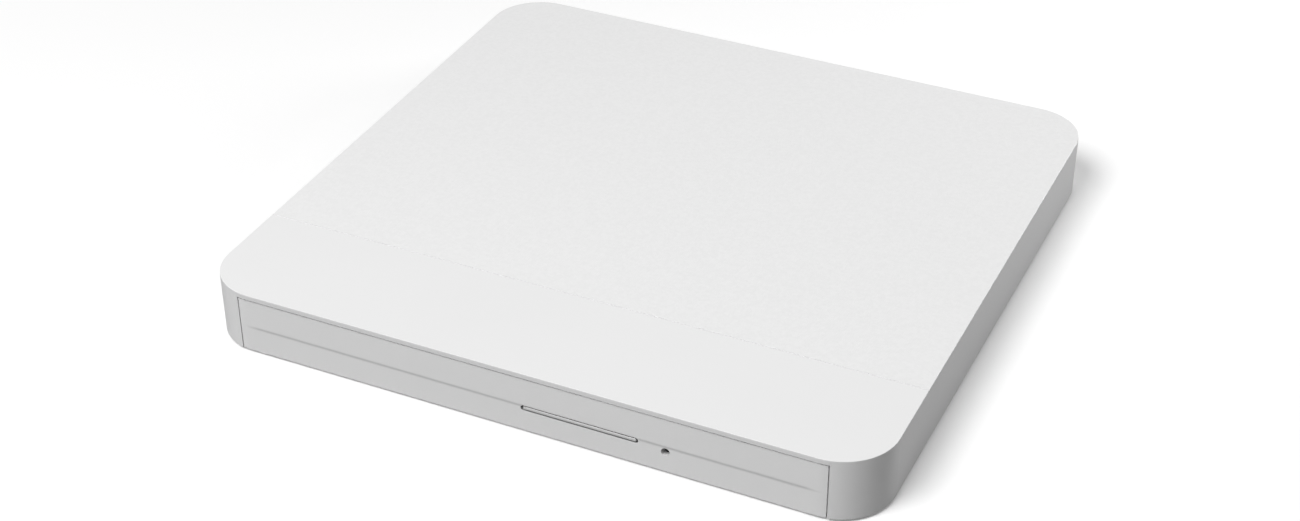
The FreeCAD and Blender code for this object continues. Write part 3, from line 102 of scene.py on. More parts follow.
camera_data = bpy.data.cameras.new("camera")
camera_data.lens = 62.09
camera_data.sensor_width = 36.0
camera_data.clip_start = 0.01
camera_data.clip_end = 20.0
camera = add_object("camera", camera_data)
bpy.context.scene.camera = camera

towards_camera = Vector((
    math.cos(camera_elevation) * math.sin(camera_azimuth),
    -math.cos(camera_elevation) * math.cos(camera_azimuth),
    math.sin(camera_elevation),
))
camera.location = camera_target + towards_camera * camera_distance
camera.rotation_euler = towards_camera.to_track_quat("Z", "Y").to_euler()
print("camera at", [round(v, 4) for v in camera.location])

# %% [markdown]
# ## Light, floor and background
# White plastic shows its form only by shade, so three soft round lamps light it unevenly. The
# key lamp, high up and a little to the left of the front, does most of the work. A low side
# lamp at the right and behind makes the right wall brighter towards its back end, and a faint
# corner lamp higher up softens the turn from the front to the right wall. Their strength is set
# so that a level white surface comes out about as light as its own colour says.
# Rays straight from the camera, reflections and rays through glass find a white sky, and all
# other rays a dim one, so that white surroundings don't wash out the sides of the case. The
# floor is pale to the camera and grey to the light that it throws back. Further out it fades to
# plain white, past the drive's shadow.

# %% Lamps
lamps = [
    # name, place, size across, power in watts
    ("key_lamp", Vector((-0.225, -0.550, 0.860)), 0.60, 10.4),
    ("side_lamp", Vector((0.26, 0.36, 0.07)), 0.20, 0.86),
    ("corner_lamp", Vector((0.24, 0.20, 0.34)), 0.25, 0.24),
]
for lamp_name, lamp_place, lamp_size, lamp_power in lamps:
    lamp_data = bpy.data.lights.new(lamp_name, "AREA")
    lamp_data.shape = "DISK"
    lamp_data.size = lamp_size
    lamp_data.energy = lamp_power
    lamp = add_object(lamp_name, lamp_data)
    lamp.location = lamp_place
    lamp.rotation_euler = lamp_place.to_track_quat("Z", "Y").to_euler()
print("lamps:", len(lamps))

# %% A helper for nodes
def node(owner, kind, feeds=(), **settings):
    """Adds a node to a material, to the world or to a tree, and sets its properties.

    A feed is a number, a colour or another node's socket, by the input's name or number.
    """
    tree = getattr(owner, "node_tree", owner)
    made = tree.nodes.new(kind)
    for name, value in settings.items():
        setattr(made, name, value)
    for name, value in dict(feeds).items():
        if isinstance(value, bpy.types.NodeSocket):
            tree.links.new(value, made.inputs[name])
        else:
            made.inputs[name].default_value = value
    return made


# %% Helpers for sums, tones and rays
def calculate(owner, operation, first, second=0.0):
    """A Math node on sockets or plain numbers."""
    return node(owner, "ShaderNodeMath", {0: first, 1: second}, operation=operation).outputs[0]


def product(owner, first, *others):
    """Numbers multiplied. A product of masks is 1 where all of them are 1."""
    for other in others:
        first = calculate(owner, "MULTIPLY", first, other)
    return first


def spread(owner, value, low, high, from_low=0.3, from_high=0.7):
    """Maps a pattern's middle values to a range, clamped."""
    return node(owner, "ShaderNodeMapRange", {
        "Value": value, "From Min": from_low, "From Max": from_high,
        "To Min": low, "To Max": high,
    }).outputs["Result"]


def channels(tone):
    """Red, green and blue of a tone. A single number stands for a grey."""
    return (tone, tone, tone) if isinstance(tone, float) else tone


def two_tones(owner, value, first, second):
    """A colour between two tones, chosen by a 0 to 1 pattern."""
    return node(owner, "ShaderNodeMix", {
        "A": (*channels(first), 1.0), "B": (*channels(second), 1.0), "Factor": value,
    }, data_type="RGBA").outputs["Result"]


def seen_directly(owner, other_rays):
    """1 for camera rays and the other kinds named, and 0 for the rays that carry light."""
    path = node(owner, "ShaderNodeLightPath")
    total = path.outputs["Is Camera Ray"]
    for name in other_rays:
        total = calculate(owner, "MAXIMUM", total, path.outputs[name])
    return total


# %% World
WHITE = (1.0, 1.0, 1.0, 1.0)
dim_strength = 0.10
white_strength = 1.0
world = bpy.data.worlds.new("studio")
bpy.context.scene.world = world
world.use_nodes = True
world.node_tree.nodes.clear()
dim_sky, white_sky = [
    node(world, "ShaderNodeBackground", {"Color": WHITE, "Strength": strength}).outputs[0]
    for strength in (dim_strength, white_strength)
]
sky_mix = node(world, "ShaderNodeMixShader", {
    "Fac": seen_directly(world, ("Is Glossy Ray", "Is Transmission Ray")),
    1: dim_sky, 2: white_sky,
})
node(world, "ShaderNodeOutputWorld", {"Surface": sky_mix.outputs[0]})
print("sky strength for other rays:", dim_strength)

# %% Floor
floor_half = 6.0
floor_drop = 0.05 * MM
floor_mesh = bpy.data.meshes.new("floor")
floor_mesh.from_pydata([(x * floor_half, y * floor_half, 0)
                        for x, y in ((-1, -1), (1, -1), (1, 1), (-1, 1))], [], [(0, 1, 2, 3)])
floor = add_object("floor", floor_mesh)
floor.location.z = cad_box[0].z - floor_drop
print("floor at z, mm:", round(floor.location.z / MM, 3))

# %% Floor finish
floor_seen = 0.88
floor_glow = 0.17
floor_lighting = 0.36
fade_start = 0.15
fade_end = 0.32
pale_floor = bpy.data.materials.new("pale_floor")
pale_floor.use_nodes = True
pale_floor.node_tree.nodes.clear()
direct = seen_directly(pale_floor, ("Is Transmission Ray",))
matt = node(pale_floor, "ShaderNodeBsdfDiffuse",
            {"Color": two_tones(pale_floor, direct, floor_lighting, floor_seen)})
glow = node(pale_floor, "ShaderNodeEmission",
            {"Strength": product(pale_floor, direct, floor_glow)})
near_drive = node(pale_floor, "ShaderNodeAddShader", {0: matt.outputs[0], 1: glow.outputs[0]})
far_white = node(pale_floor, "ShaderNodeEmission", {"Color": WHITE})
floor_place = node(pale_floor, "ShaderNodeTexCoord").outputs["Object"]
from_drive = node(pale_floor, "ShaderNodeVectorMath", {0: floor_place}, operation="LENGTH")
fade = spread(pale_floor, from_drive.outputs["Value"], 0.0, 1.0, fade_start, fade_end)
floor_mix = node(pale_floor, "ShaderNodeMixShader", {
    "Fac": product(pale_floor, fade, direct),
    1: near_drive.outputs[0], 2: far_white.outputs[0],
})
node(pale_floor, "ShaderNodeOutputMaterial", {"Surface": floor_mix.outputs[0]})
floor_mesh.materials.append(pale_floor)
bpy.context.scene.view_settings.view_transform = "Standard"
print("floor fades to white from", fade_start, "to", fade_end, "m")

# %% [markdown]
# ## A base for every finish
# Each finish below starts from the same short recipe: a Principled shader whose colour drifts
# a little between two close tones, whose roughness drifts too, and whose surface has a fine
# bump. So a finish is one row of a table, which also names the solids that wear it. All
# patterns use Object coordinates, which here are real metres, so a grain has its real size. A
# value that is the same all over is typed on the shader's own socket. What a piece has on top
# of its recipe is painted over it where a mask is 1, and further bumps are added to the first.

# %% Helpers for patterns and masks
def coordinates(material, scale=(1.0, 1.0, 1.0)):
    """Object coordinates, stretched along the axes."""
    place = node(material, "ShaderNodeTexCoord").outputs["Object"]
    return node(material, "ShaderNodeVectorMath", {0: place, 1: scale},
                operation="MULTIPLY").outputs["Vector"]


def split(material, vector):
    """The X, Y and Z of a vector."""
    return list(node(material, "ShaderNodeSeparateXYZ", {0: vector}).outputs)


def noise(material, vector, grain, detail=3.0, roughness=0.5):
    """Noise whose spots are about one grain across, in metres."""
    return node(material, "ShaderNodeTexNoise", {
        "Vector": vector, "Scale": 1.0 / grain, "Detail": detail, "Roughness": roughness,
    }).outputs["Fac"]


def over(material, value, limit):
    """A mask that is 1 where a value is over a limit."""
    return calculate(material, "GREATER_THAN", value, limit)


def under(material, value, limit):
    """A mask that is 1 where a value is under a limit."""
    return calculate(material, "LESS_THAN", value, limit)


# %% Helpers for colour and bump
def shader_input(material, name):
    """A socket of the material's shader."""
    return material.node_tree.nodes["Principled BSDF"].inputs[name]


def feed(material, name, source):
    """Joins another node's socket to the shader's."""
    material.node_tree.links.new(source, shader_input(material, name))


def paint(material, mask, pattern, first, second):
    """Puts a colour between two tones over the present colour where a mask is 1."""
    present = shader_input(material, "Base Color").links[0].from_socket
    tone = two_tones(material, pattern, first, second)
    feed(material, "Base Color", node(
        material, "ShaderNodeMix", {"A": present, "B": tone, "Factor": mask},
        data_type="RGBA").outputs["Result"])


def bump(material, height, distance):
    """A bump of a real height in metres, on top of the bumps that are there."""
    feeds = {"Strength": 1.0, "Distance": distance, "Height": height}
    if shader_input(material, "Normal").is_linked:
        feeds["Normal"] = shader_input(material, "Normal").links[0].from_socket
    feed(material, "Normal", node(material, "ShaderNodeBump", feeds).outputs["Normal"])


# %% The common recipe
def finish(name, tone, drift, roughness, grain, height, patch, metallic=0.0):
    """A tone that drifts from patch to patch, and a fine grain. The sizes are in mm."""
    material = bpy.data.materials.new(name)
    material.use_nodes = True
    shader_input(material, "Metallic").default_value = metallic
    place = coordinates(material)
    patches = spread(material, noise(material, place, patch * MM, detail=2.0), 0.0, 1.0)
    lighter = [min(1.0, c * (1.0 + drift)) for c in channels(tone)]
    darker = [c * (1.0 - drift) for c in channels(tone)]
    feed(material, "Base Color", two_tones(material, patches, darker, lighter))
    fine = noise(material, place, grain * MM)
    feed(material, "Roughness",
         spread(material, fine, roughness * 0.9, min(1.0, roughness * 1.1)))
    bump(material, fine, height * MM)
    return material


def finishes(recipes, metallic=0.0):
    """Makes the finishes of a table, and puts them on the CAD nodes that it names.

    A row holds what the common recipe asks for, up to the patch, and then the CAD nodes.
    """
    made = []
    for *recipe, nodes in recipes:
        made.append(finish(*recipe, metallic))
        for name in nodes:
            for slot in frame["nodes"][name].material_slots:
                slot.material = made[-1]
    print("finishes:", [material.name for material in made])
    return made


# %% [markdown]
# ## The white case
# The cover is one satin-white moulding. Its top has two zones: a smooth band along the front,
# and behind a fine pressed line a large area with a faint woven grain that dulls reflections.
# Crossed waves less than half a millimetre apart, broken up by noise, give that weave, and a
# step on the Y coordinate keeps it behind the line. The walls keep the smooth finish. Two fine
# edges are painted darker as painted shade: the lip over the bezel and the pressed line. Their
# white is toned down a little, so that they still read from a distance.

# %% White case finish
front_edge = case_low.y
bezel_low, bezel_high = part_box("front_bezel")
lip_reach = 0.3 * MM
lip_floor, lip_edge = case_high.z - 0.5 * MM, case_high.z - 0.1 * MM
line_y = front_edge + 27.3 * MM
line_reach = 0.6 * MM
line_floor, line_edge = case_high.z - 0.08 * MM, case_high.z - 0.01 * MM
below_top = case_high.z - 0.2 * MM
level_top = case_high.z - 0.02 * MM
weave_pitch = 0.42 * MM
weave_scale = 0.314 / weave_pitch    # a wave of scale 1 repeats after 0.314 m
weave_height = 0.02 * MM
speckle_size = 0.9 * MM

[case_white] = finishes([
    ("case_white", 0.815, 0.006, 0.38, 0.25, 0.0015, 30, ["top_cover"]),
])
shader_input(case_white, "IOR").default_value = 1.46
case_place = coordinates(case_white)
y, z = split(case_white, case_place)[1:]
speckle = noise(case_white, case_place, speckle_size, detail=4.0, roughness=0.7)

# Painted shade: the lip over the bezel is toned darker.
lip_painted_shade = product(case_white, under(case_white, y, front_edge + lip_reach),
                 spread(case_white, z, 1.0, 0.0, lip_floor, lip_edge),
                 over(case_white, z, bezel_high.z))
paint(case_white, lip_painted_shade, speckle, 0.77, 0.78)

from_line = calculate(case_white, "ABSOLUTE", calculate(case_white, "SUBTRACT", y, line_y))
# Painted shade: the pressed line is toned darker, so its back wall shows less light.
line_painted_shade = product(case_white, under(case_white, from_line, line_reach),
                  spread(case_white, z, 1.0, 0.0, line_floor, line_edge),
                  over(case_white, z, below_top))
paint(case_white, line_painted_shade, speckle, 0.755, 0.77)

threads = [
    node(case_white, "ShaderNodeTexWave", {
        "Vector": case_place, "Scale": weave_scale, "Distortion": 1.5, "Detail": 1.0,
    }, bands_direction=direction).outputs["Fac"]
    for direction in "XY"
]
woven = product(case_white, over(case_white, y, line_y), over(case_white, z, level_top))
bump(case_white, product(case_white, *threads, speckle, woven), weave_height)
mottle = spread(case_white, speckle, 0.0, 1.0, 0.38, 0.62)
paint(case_white, woven, mottle, 0.805, 0.835)
print("weave pitch, mm:", weave_pitch / MM)

# %% [markdown]
# ## Bezel, button and base
# The bezel is the same white plastic. Its crease, the gap round the button and the emergency
# hole are narrow hollows that hardly any light reaches. Their walls get painted shade that
# deepens with their depth behind the front face, so that they read as fine dark lines at every
# size. The crease's painted shade covers its slope only, and fades out with it towards the
# bezel's ends.

# %% Bezel finish
crease_z = 6.22 * MM
crease_half = 0.4 * MM
crease_depth = 0.08 * MM
rim_width = 1.5 * MM
end_width = 2.3 * MM
slot_end_x = 28 * MM
fade_from, fade_to = bezel_high.x - 4.0 * MM, bezel_high.x - 0.8 * MM


def shade_hollow(material, inside, depth, start, end, tone):
    """Paints shade: tones the colour darker between two depths, where a mask allows it."""
    sunk = product(material, inside, spread(material, depth, 0.0, 1.0, start, end))
    paint(material, sunk, depth, tone, tone * 0.8)


bezel_white, button_white = finishes([
    # name, tone, drift, roughness, grain, height, patch, CAD nodes
    ("bezel_white", 0.83, 0.006, 0.36, 0.25, 0.0015, 25, ["front_bezel"]),
    ("button_white", 0.66, 0.006, 0.30, 0.25, 0.001, 10, ["eject_button"]),
])
shader_input(bezel_white, "IOR").default_value = 1.46
x, y, z = split(bezel_white, coordinates(bezel_white))
depth = calculate(bezel_white, "SUBTRACT", y, bezel_low.y)
from_middle = calculate(bezel_white, "ABSOLUTE", x)
inside = product(bezel_white, under(bezel_white, from_middle, bezel_high.x - end_width),
                 over(bezel_white, z, bezel_low.z + rim_width),
                 under(bezel_white, z, bezel_high.z - rim_width))
in_slot = product(bezel_white, inside, under(bezel_white, x, slot_end_x))
# Painted shade on the walls behind the front face, darker still in the button's slot.
shade_hollow(bezel_white, inside, depth, start=0.12 * MM, end=0.30 * MM, tone=0.66)
shade_hollow(bezel_white, in_slot, depth, start=0.12 * MM, end=0.24 * MM, tone=0.38)

# Painted shade along the crease's slope, fading out towards the bezel's ends.
crease_painted_shade = product(
    bezel_white, spread(bezel_white, z, 0.0, 1.0, crease_z - crease_half, crease_z),
    spread(bezel_white, z, 1.0, 0.0, crease_z, crease_z + crease_half),
    under(bezel_white, depth, crease_depth + 0.01 * MM),
    spread(bezel_white, from_middle, 1.0, 0.0, fade_from, fade_to))
paint(bezel_white, crease_painted_shade, depth, 0.64, 0.62)
print("crease at z, mm:", crease_z / MM)

# %% Button and base finishes
y = split(button_white, coordinates(button_white))[1]
depth = calculate(button_white, "SUBTRACT", y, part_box("eject_button")[0].y)
# Painted shade on the button's sides, darker with their depth behind its face.
shade_hollow(button_white, 1.0, depth, start=0.03 * MM, end=0.20 * MM, tone=0.30)
finishes([("base_white", 0.76, 0.012, 0.55, 0.35, 0.012, 20, ["bottom_cover"])])

# %% [markdown]
# ## Metal, plastic and rubber
# Inside, most pieces are pressed zinc-coated sheet, turned steel or dark moulded plastic. Sheet
# has faint cloudy spangle and fine rolling streaks, so its roughness is streaked along one
# direction. The pickup's body is die-cast and has a dull skin, and the lead screw is turned
# from brass. Moulded black plastic has a spark-eroded texture that scatters light, and rubber
# is rougher still. Each is the common recipe with its own tone, grain and height.

# %% Metal finishes
streak_height = 0.0008 * MM
sheet_steel, bright_steel, screw_steel, brass_screw = finishes([
    # name, tone, drift, roughness, grain, height, patch, CAD nodes
    ("sheet_steel", (0.60, 0.61, 0.62), 0.07, 0.40, 0.8, 0.002, 5,
     ["drive_chassis", "drive_top_plate", "tray_cover_plate", "traverse_frame",
      "stepper_motor", "motor_stator", "pickup_yoke"]),
    ("bright_steel", (0.72, 0.72, 0.73), 0.03, 0.20, 0.2, 0.0008, 3,
     ["slide_rail_left", "slide_rail_right", "striker_pin", "guide_rod_front",
      "guide_rod_rear", "usb_shell", "solenoid_plunger", "suspension_wires"]),
    ("screw_steel", (0.34, 0.34, 0.35), 0.08, 0.32, 0.15, 0.002, 1.5, []),
    ("brass_screw", (0.66, 0.50, 0.24), 0.05, 0.26, 0.12, 0.001, 2, []),
], metallic=1.0)
finishes([
    ("cast_metal", (0.50, 0.50, 0.51), 0.06, 0.46, 0.3, 0.010, 4, ["pickup_body"]),
], metallic=1.0)


def add_streaks(material, stretch, grain, low, high):
    """Fine drawn lines: noise that is stretched along one direction, in roughness and bump."""
    drawn = noise(material, coordinates(material, stretch), grain, detail=5.0)
    feed(material, "Roughness", spread(material, drawn, low, high))
    bump(material, drawn, streak_height)


add_streaks(sheet_steel, stretch=(1.0, 0.03, 1.0), grain=0.25 * MM, low=0.30, high=0.46)
add_streaks(bright_steel, stretch=(1.0, 0.04, 1.0), grain=0.2 * MM, low=0.14, high=0.26)

# %% Plastic and rubber finishes
finishes([
    ("tray_black", (0.026, 0.026, 0.028), 0.10, 0.52, 0.22, 0.012, 12, ["tray"]),
    ("slide_black", (0.045, 0.045, 0.047), 0.08, 0.40, 0.5, 0.004, 4,
     ["rail_guide_left", "rail_guide_right", "latch_lever", "ejector_plunger",
      "rack_follower"]),
    ("holder_black", (0.048, 0.048, 0.050), 0.08, 0.46, 0.3, 0.005, 3,
     ["hub_claw_1", "hub_claw_2", "hub_claw_3", "rod_holders", "lens_holder"]),
    ("hub_black", (0.030, 0.030, 0.031), 0.08, 0.36, 0.3, 0.003, 4, ["turntable"]),
    ("grip_rubber", 0.050, 0.12, 0.85, 0.18, 0.012, 2,
     ["turntable_ring", "damper_bushes"]),
    ("foot_rubber", 0.10, 0.10, 0.80, 0.25, 0.015, 3,
     ["foot_front_left", "foot_front_right", "foot_rear_left", "foot_rear_right"]),
    ("chip_black", (0.036, 0.036, 0.037), 0.10, 0.55, 0.12, 0.006, 2,
     ["board_chips", "eject_switch", "usb_tongue"]),
    ("socket_cream", (0.68, 0.64, 0.53), 0.04, 0.42, 0.25, 0.003, 3,
     ["board_cable_socket", "tray_cable_socket", "switch_plunger"]),
])

# %% Clear finishes
lamp_lens, lens_glass = finishes([
    ("lamp_lens", (0.82, 0.92, 0.82), 0.03, 0.18, 0.3, 0.001, 1, ["status_lamp"]),
    ("lens_glass", (0.72, 0.80, 0.95), 0.03, 0.06, 0.6, 0.0002, 2, ["objective_lens"]),
])
shader_input(lamp_lens, "Transmission Weight").default_value = 0.5
for name, value in (("Transmission Weight", 0.75), ("IOR", 1.6), ("Coat Weight", 0.6),
                    ("Coat Tint", (0.75, 0.80, 1.0, 1.0))):
    shader_input(lens_glass, name).default_value = value

# %% [markdown]
# ## Circuit boards, cable and coil
# A board shows copper tracks under green lacquer. They run straight and turn at right angles,
# so two sets of fine lines, one along X and one along Y, are chosen in patches by a coarse cell
# pattern, and small dots mark the joints between layers. The flat cable is a pale film over
# parallel conductors, and the solenoid is wound with enamelled copper wire. In both the lines
# follow one axis, so a wave on that axis draws them at the true pitch. The solenoid's yoke is
# one solid with its coil, so steel is painted over the copper on its two cheeks and its roof.

# %% Board finish
track_pitch = 0.9 * MM
track_patch = 6.0 * MM
track_height = 0.02 * MM
along_y_over, along_x_under = 0.55, 0.35    # a patch's random tone picks its tracks
track_soft = (0.55, 0.75)   # where a wave's height turns from lacquer to track
dot_spacing = 2.6 * MM
dot_radius = 0.10           # of the distance between two dots
bands_apart = 0.31416       # metres between the bands of a wave whose scale is 1


def lines(material, vector, direction, pitch, low, high):
    """A mask of parallel lines at a real pitch along X, Y or Z."""
    wave = node(material, "ShaderNodeTexWave", {"Vector": vector, "Scale": bands_apart / pitch},
                bands_direction=direction)
    return spread(material, wave.outputs["Fac"], 0.0, 1.0, low, high)


[board_green] = finishes([
    ("board_green", (0.022, 0.15, 0.060), 0.06, 0.34, 0.4, 0.002, 8,
     ["main_board", "button_board"]),
])
board_place = coordinates(board_green)
cells = node(board_green, "ShaderNodeTexVoronoi",
             {"Vector": board_place, "Scale": 1 / track_patch}, distance="CHEBYCHEV")
cell_tone = node(board_green, "ShaderNodeSeparateColor", {0: cells.outputs["Color"]}).outputs[0]
tracks = calculate(
    board_green, "ADD",
    product(board_green, over(board_green, cell_tone, along_y_over),
            lines(board_green, board_place, "Y", track_pitch, *track_soft)),
    product(board_green, under(board_green, cell_tone, along_x_under),
            lines(board_green, board_place, "X", track_pitch, *track_soft)),
)
from_dot = node(board_green, "ShaderNodeTexVoronoi",
                {"Vector": board_place, "Scale": 1 / dot_spacing}).outputs["Distance"]
paint(board_green, tracks, from_dot, (0.035, 0.26, 0.10), (0.045, 0.30, 0.12))
paint(board_green, under(board_green, from_dot, dot_radius), from_dot,
      (0.62, 0.60, 0.52), (0.55, 0.52, 0.42))
bump(board_green, tracks, track_height)
print("track pitch, mm:", track_pitch / MM)

# %% Cable film
conductor_pitch = 1.0 * MM
conductor_height = 0.015 * MM

[cable_film] = finishes([
    ("cable_film", (0.74, 0.75, 0.73), 0.02, 0.36, 0.5, 0.002, 10, ["cable_fold"]),
])
conductors = lines(cable_film, coordinates(cable_film), "X", conductor_pitch, 0.25, 0.60)
paint(cable_film, conductors, conductors, (0.52, 0.53, 0.54), (0.56, 0.57, 0.58))
bump(cable_film, conductors, conductor_height)
print("conductor pitch, mm:", conductor_pitch / MM)

# %% Copper winding in a steel yoke
winding_pitch = 0.28 * MM
winding_height = 0.06 * MM
cheek_reach = 0.81 * MM
roof_reach = 0.31 * MM
yoke_patch = 1.5 * MM

[copper_coil] = finishes([
    ("copper_coil", (0.60, 0.29, 0.13), 0.06, 0.30, 0.3, 0.002, 2, ["solenoid"]),
], metallic=1.0)
coil_place = coordinates(copper_coil)
y, z = split(copper_coil, coil_place)[1:]
yoke_low, yoke_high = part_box("solenoid")
on_yoke = over(copper_coil, z, yoke_high.z - roof_reach)
for cheek in (under(copper_coil, y, yoke_low.y + cheek_reach),
              over(copper_coil, y, yoke_high.y - cheek_reach)):
    on_yoke = calculate(copper_coil, "MAXIMUM", on_yoke, cheek)
paint(copper_coil, on_yoke, noise(copper_coil, coil_place, yoke_patch),
      (0.52, 0.53, 0.54), (0.64, 0.65, 0.66))
windings = lines(copper_coil, coil_place, "Y", winding_pitch, 0.0, 1.0)
off_yoke = calculate(copper_coil, "SUBTRACT", 1.0, on_yoke)
bump(copper_coil, product(copper_coil, windings, off_yoke), winding_height)
print("winding pitch, mm:", winding_pitch / MM)

# %% [markdown]
# ## Reading the frame
# Small pieces take their places from the solids that they dress. A CAD node may hold several
# separate solids, such as four screws, so its mesh is welded and split into islands, and each
# island gives a box. A piece that lies across the axes is measured along its own direction.

# %% Measure solids
weld_distance = 0.001 * MM


def welded(name):
    """A merged copy of a CAD node's mesh, so the node itself is left alone."""
    shape = bmesh.new()
    shape.from_mesh(frame["nodes"][name].data)
    bmesh.ops.remove_doubles(shape, verts=shape.verts, dist=weld_distance)
    return shape


def solid_boxes(name):
    """(lowest corner, highest corner) of every separate solid in a CAD node."""
    shape = welded(name)
    found = []
    waiting = set(shape.verts)
    while waiting:
        island = [waiting.pop()]
        for vert in island:
            for edge in vert.link_edges:
                other = edge.other_vert(vert)
                if other in waiting:
                    waiting.remove(other)
                    island.append(other)
        places = np.array([vert.co for vert in island])
        found.append((Vector(places.min(0)), Vector(places.max(0))))
    shape.free()
    return sorted(found, key=lambda pair: tuple(pair[0]))


def reach(name, direction):
    """How far a CAD node reaches along a direction, from the origin, lowest and highest."""
    places = np.array([vert.co for vert in frame["nodes"][name].data.vertices])
    along = places @ np.array(direction)
    return along.min(), along.max()


print("case screws found:", len(solid_boxes("case_screws")))

# %% [markdown]
# ## The bezel's crease
# On the moulding the crease fades out towards both ends of the bezel. The solid stops it short
# with a step of a few hundredths of a millimetre, which would show as a fine upright line. This
# piece is the same bezel, cut into narrow slices past the step's end, where the face comes
# forward slice by slice until nothing of the crease is left. Its left end also comes a little
# closer to the case than the solid's, because the gap of the real drive is finer there.

# %% Cut and shape the bezel
crease_end = bezel_high.x - 5.4 * MM
run_out_end = bezel_high.x - 2.0 * MM
run_out_cuts = 8
crease_low = crease_z - crease_half
crease_high = crease_z + crease_half
crease_cuts = 5
lower_edge = 0.08 * MM
touching = 0.002 * MM
end_rounding = 0.15 * MM
closer_at_left = 0.18 * MM


def cut_across(shape, axis, distance):
    """Cuts every face of a shape along a plane across one axis."""
    normal = Vector([1.0 if index == axis else 0.0 for index in range(3)])
    bmesh.ops.bisect_plane(shape, geom=shape.verts[:] + shape.edges[:] + shape.faces[:],
                           plane_co=normal * distance, plane_no=normal)


def face_depth(x, z):
    """How far the creased face lies behind the front plane."""
    across_crease = np.interp(z, [crease_low, crease_high], [1.0, 0.0])
    past_end = float(np.clip((abs(x) - crease_end) / (run_out_end - crease_end), 0.0, 1.0))
    return crease_depth * across_crease * (1.0 - past_end ** 2 * (3.0 - 2.0 * past_end))


bezel_shape = welded("front_bezel")
for distance in np.linspace(crease_end, run_out_end, run_out_cuts):
    for side in (-1, 1):
        cut_across(bezel_shape, 0, side * float(distance))
for height in (bezel_low.z + lower_edge, *np.linspace(crease_low, crease_high, crease_cuts)):
    cut_across(bezel_shape, 2, float(height))
for vert in bezel_shape.verts:
    in_run_out = crease_end - touching < abs(vert.co.x) < run_out_end + touching
    below_crease = vert.co.z < crease_high + touching
    if in_run_out and below_crease and vert.co.y < bezel_low.y + touching:
        vert.co.y = bezel_low.y + face_depth(vert.co.x, vert.co.z)
    if vert.co.x < bezel_low.x + end_rounding:
        vert.co.x -= closer_at_left
bmesh.ops.remove_doubles(bezel_shape, verts=bezel_shape.verts, dist=touching)
print("bezel faces:", len(bezel_shape.faces), "open edges:",
      sum(not edge.is_manifold for edge in bezel_shape.edges))

# %% Shade and place the bezel
smooth_on_face = math.radians(1.0)
smooth_at_corner = math.radians(3.0)

bezel_shape.normal_update()
for edge in bezel_shape.edges:
    in_corner = all(abs(vert.co.x) > run_out_end - touching for vert in edge.verts)
    smooth_below = smooth_at_corner if in_corner else smooth_on_face
    edge.smooth = edge.calc_face_angle(math.pi) < smooth_below
for face in bezel_shape.faces:
    face.smooth = True
bezel_mesh = bpy.data.meshes.new("creased_bezel")
bezel_shape.to_mesh(bezel_mesh)
bezel_shape.free()
bezel_mesh.materials.clear()
bezel_mesh.materials.append(bezel_white)
creased_bezel = add_object("creased_bezel", bezel_mesh)
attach(creased_bezel, "tray")
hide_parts("front_bezel")
print("left end closer by, mm:", closer_at_left / MM)

# %% [markdown]
# ## Screws
# A small pan-head screw has a domed head with a cross recess. The same tree makes every size:
# it squeezes the top of a short cylinder into a dome by a rule, cuts a cross with a Boolean,
# adds the shank and puts a copy on every point. Each point carries a turn, so that screws can
# face up, down or sideways. The result is one plain mesh for each group of screws.

# %% Geometry Nodes helpers
def new_tree(name, inputs):
    """An empty tree with named inputs, and the outputs of its first node."""
    tree = bpy.data.node_groups.new(name, "GeometryNodeTree")
    tree.interface.new_socket("Geometry", in_out="INPUT", socket_type="NodeSocketGeometry")
    for title, kind, value in inputs:
        socket = tree.interface.new_socket(title, in_out="INPUT",
                                           socket_type="NodeSocket" + kind)
        if value is not None:
            socket.default_value = value
    tree.interface.new_socket("Geometry", in_out="OUTPUT", socket_type="NodeSocketGeometry")
    return tree, tree.nodes.new("NodeGroupInput").outputs


def vector_of(tree, x, y, z):
    """A vector from three sockets or plain numbers."""
    return node(tree, "ShaderNodeCombineXYZ", {0: x, 1: y, 2: z}).outputs[0]


def moved(tree, geometry, offset):
    """The same geometry, shifted."""
    return node(tree, "GeometryNodeTransform",
                {"Geometry": geometry, "Translation": offset}).outputs[0]


# %% Copies on points
def set_out(tree, given, *blocks):
    """Joins blocks and copies them to every point, turned as it says, as real geometry."""
    template = node(tree, "GeometryNodeJoinGeometry")
    for block in blocks:
        tree.links.new(block, template.inputs[0])
    turn = node(tree, "GeometryNodeInputNamedAttribute", {"Name": "turn"},
                data_type="FLOAT_VECTOR")
    rotation = node(tree, "FunctionNodeEulerToRotation", {0: turn.outputs[0]})
    copies = node(tree, "GeometryNodeInstanceOnPoints", {
        "Points": given["Geometry"], "Instance": template.outputs[0],
        "Rotation": rotation.outputs[0],
    })
    real = node(tree, "GeometryNodeRealizeInstances", {0: copies.outputs[0]})
    coloured = node(tree, "GeometryNodeSetMaterial",
                    {"Geometry": real.outputs[0], "Material": given["Finish"]})
    node(tree, "NodeGroupOutput", {0: coloured.outputs[0]})


def soften(mesh, sharp_above=35):
    """Smooth shading, but for edges sharper than an angle in degrees."""
    mesh.shade_smooth()
    mesh.set_sharp_from_angle(angle=math.radians(sharp_above))


def grow(name, tree, places, turns, values):
    """Runs a tree on one point for each place, and keeps the result as a plain mesh."""
    seeds = bpy.data.meshes.new(name + "_places")
    seeds.from_pydata([tuple(p) for p in places], [], [])
    turn = seeds.attributes.new("turn", "FLOAT_VECTOR", "POINT")
    turn.data.foreach_set("vector", [angle for angles in turns for angle in angles])
    made = add_object(name, seeds)
    modifier = made.modifiers.new("grow", "NODES")
    modifier.node_group = tree
    sockets = {item.name: item.identifier for item in tree.interface.items_tree
               if item.item_type == "SOCKET" and item.in_out == "INPUT"}
    for title, value in values.items():
        modifier[sockets[title]] = value
    bpy.context.view_layer.update()
    evaluated = made.evaluated_get(bpy.context.evaluated_depsgraph_get())
    mesh = bpy.data.meshes.new_from_object(evaluated)
    made.modifiers.clear()
    made.data = mesh
    soften(mesh)
    print(name, "copies:", len(places), "faces:", len(mesh.polygons))
    return made


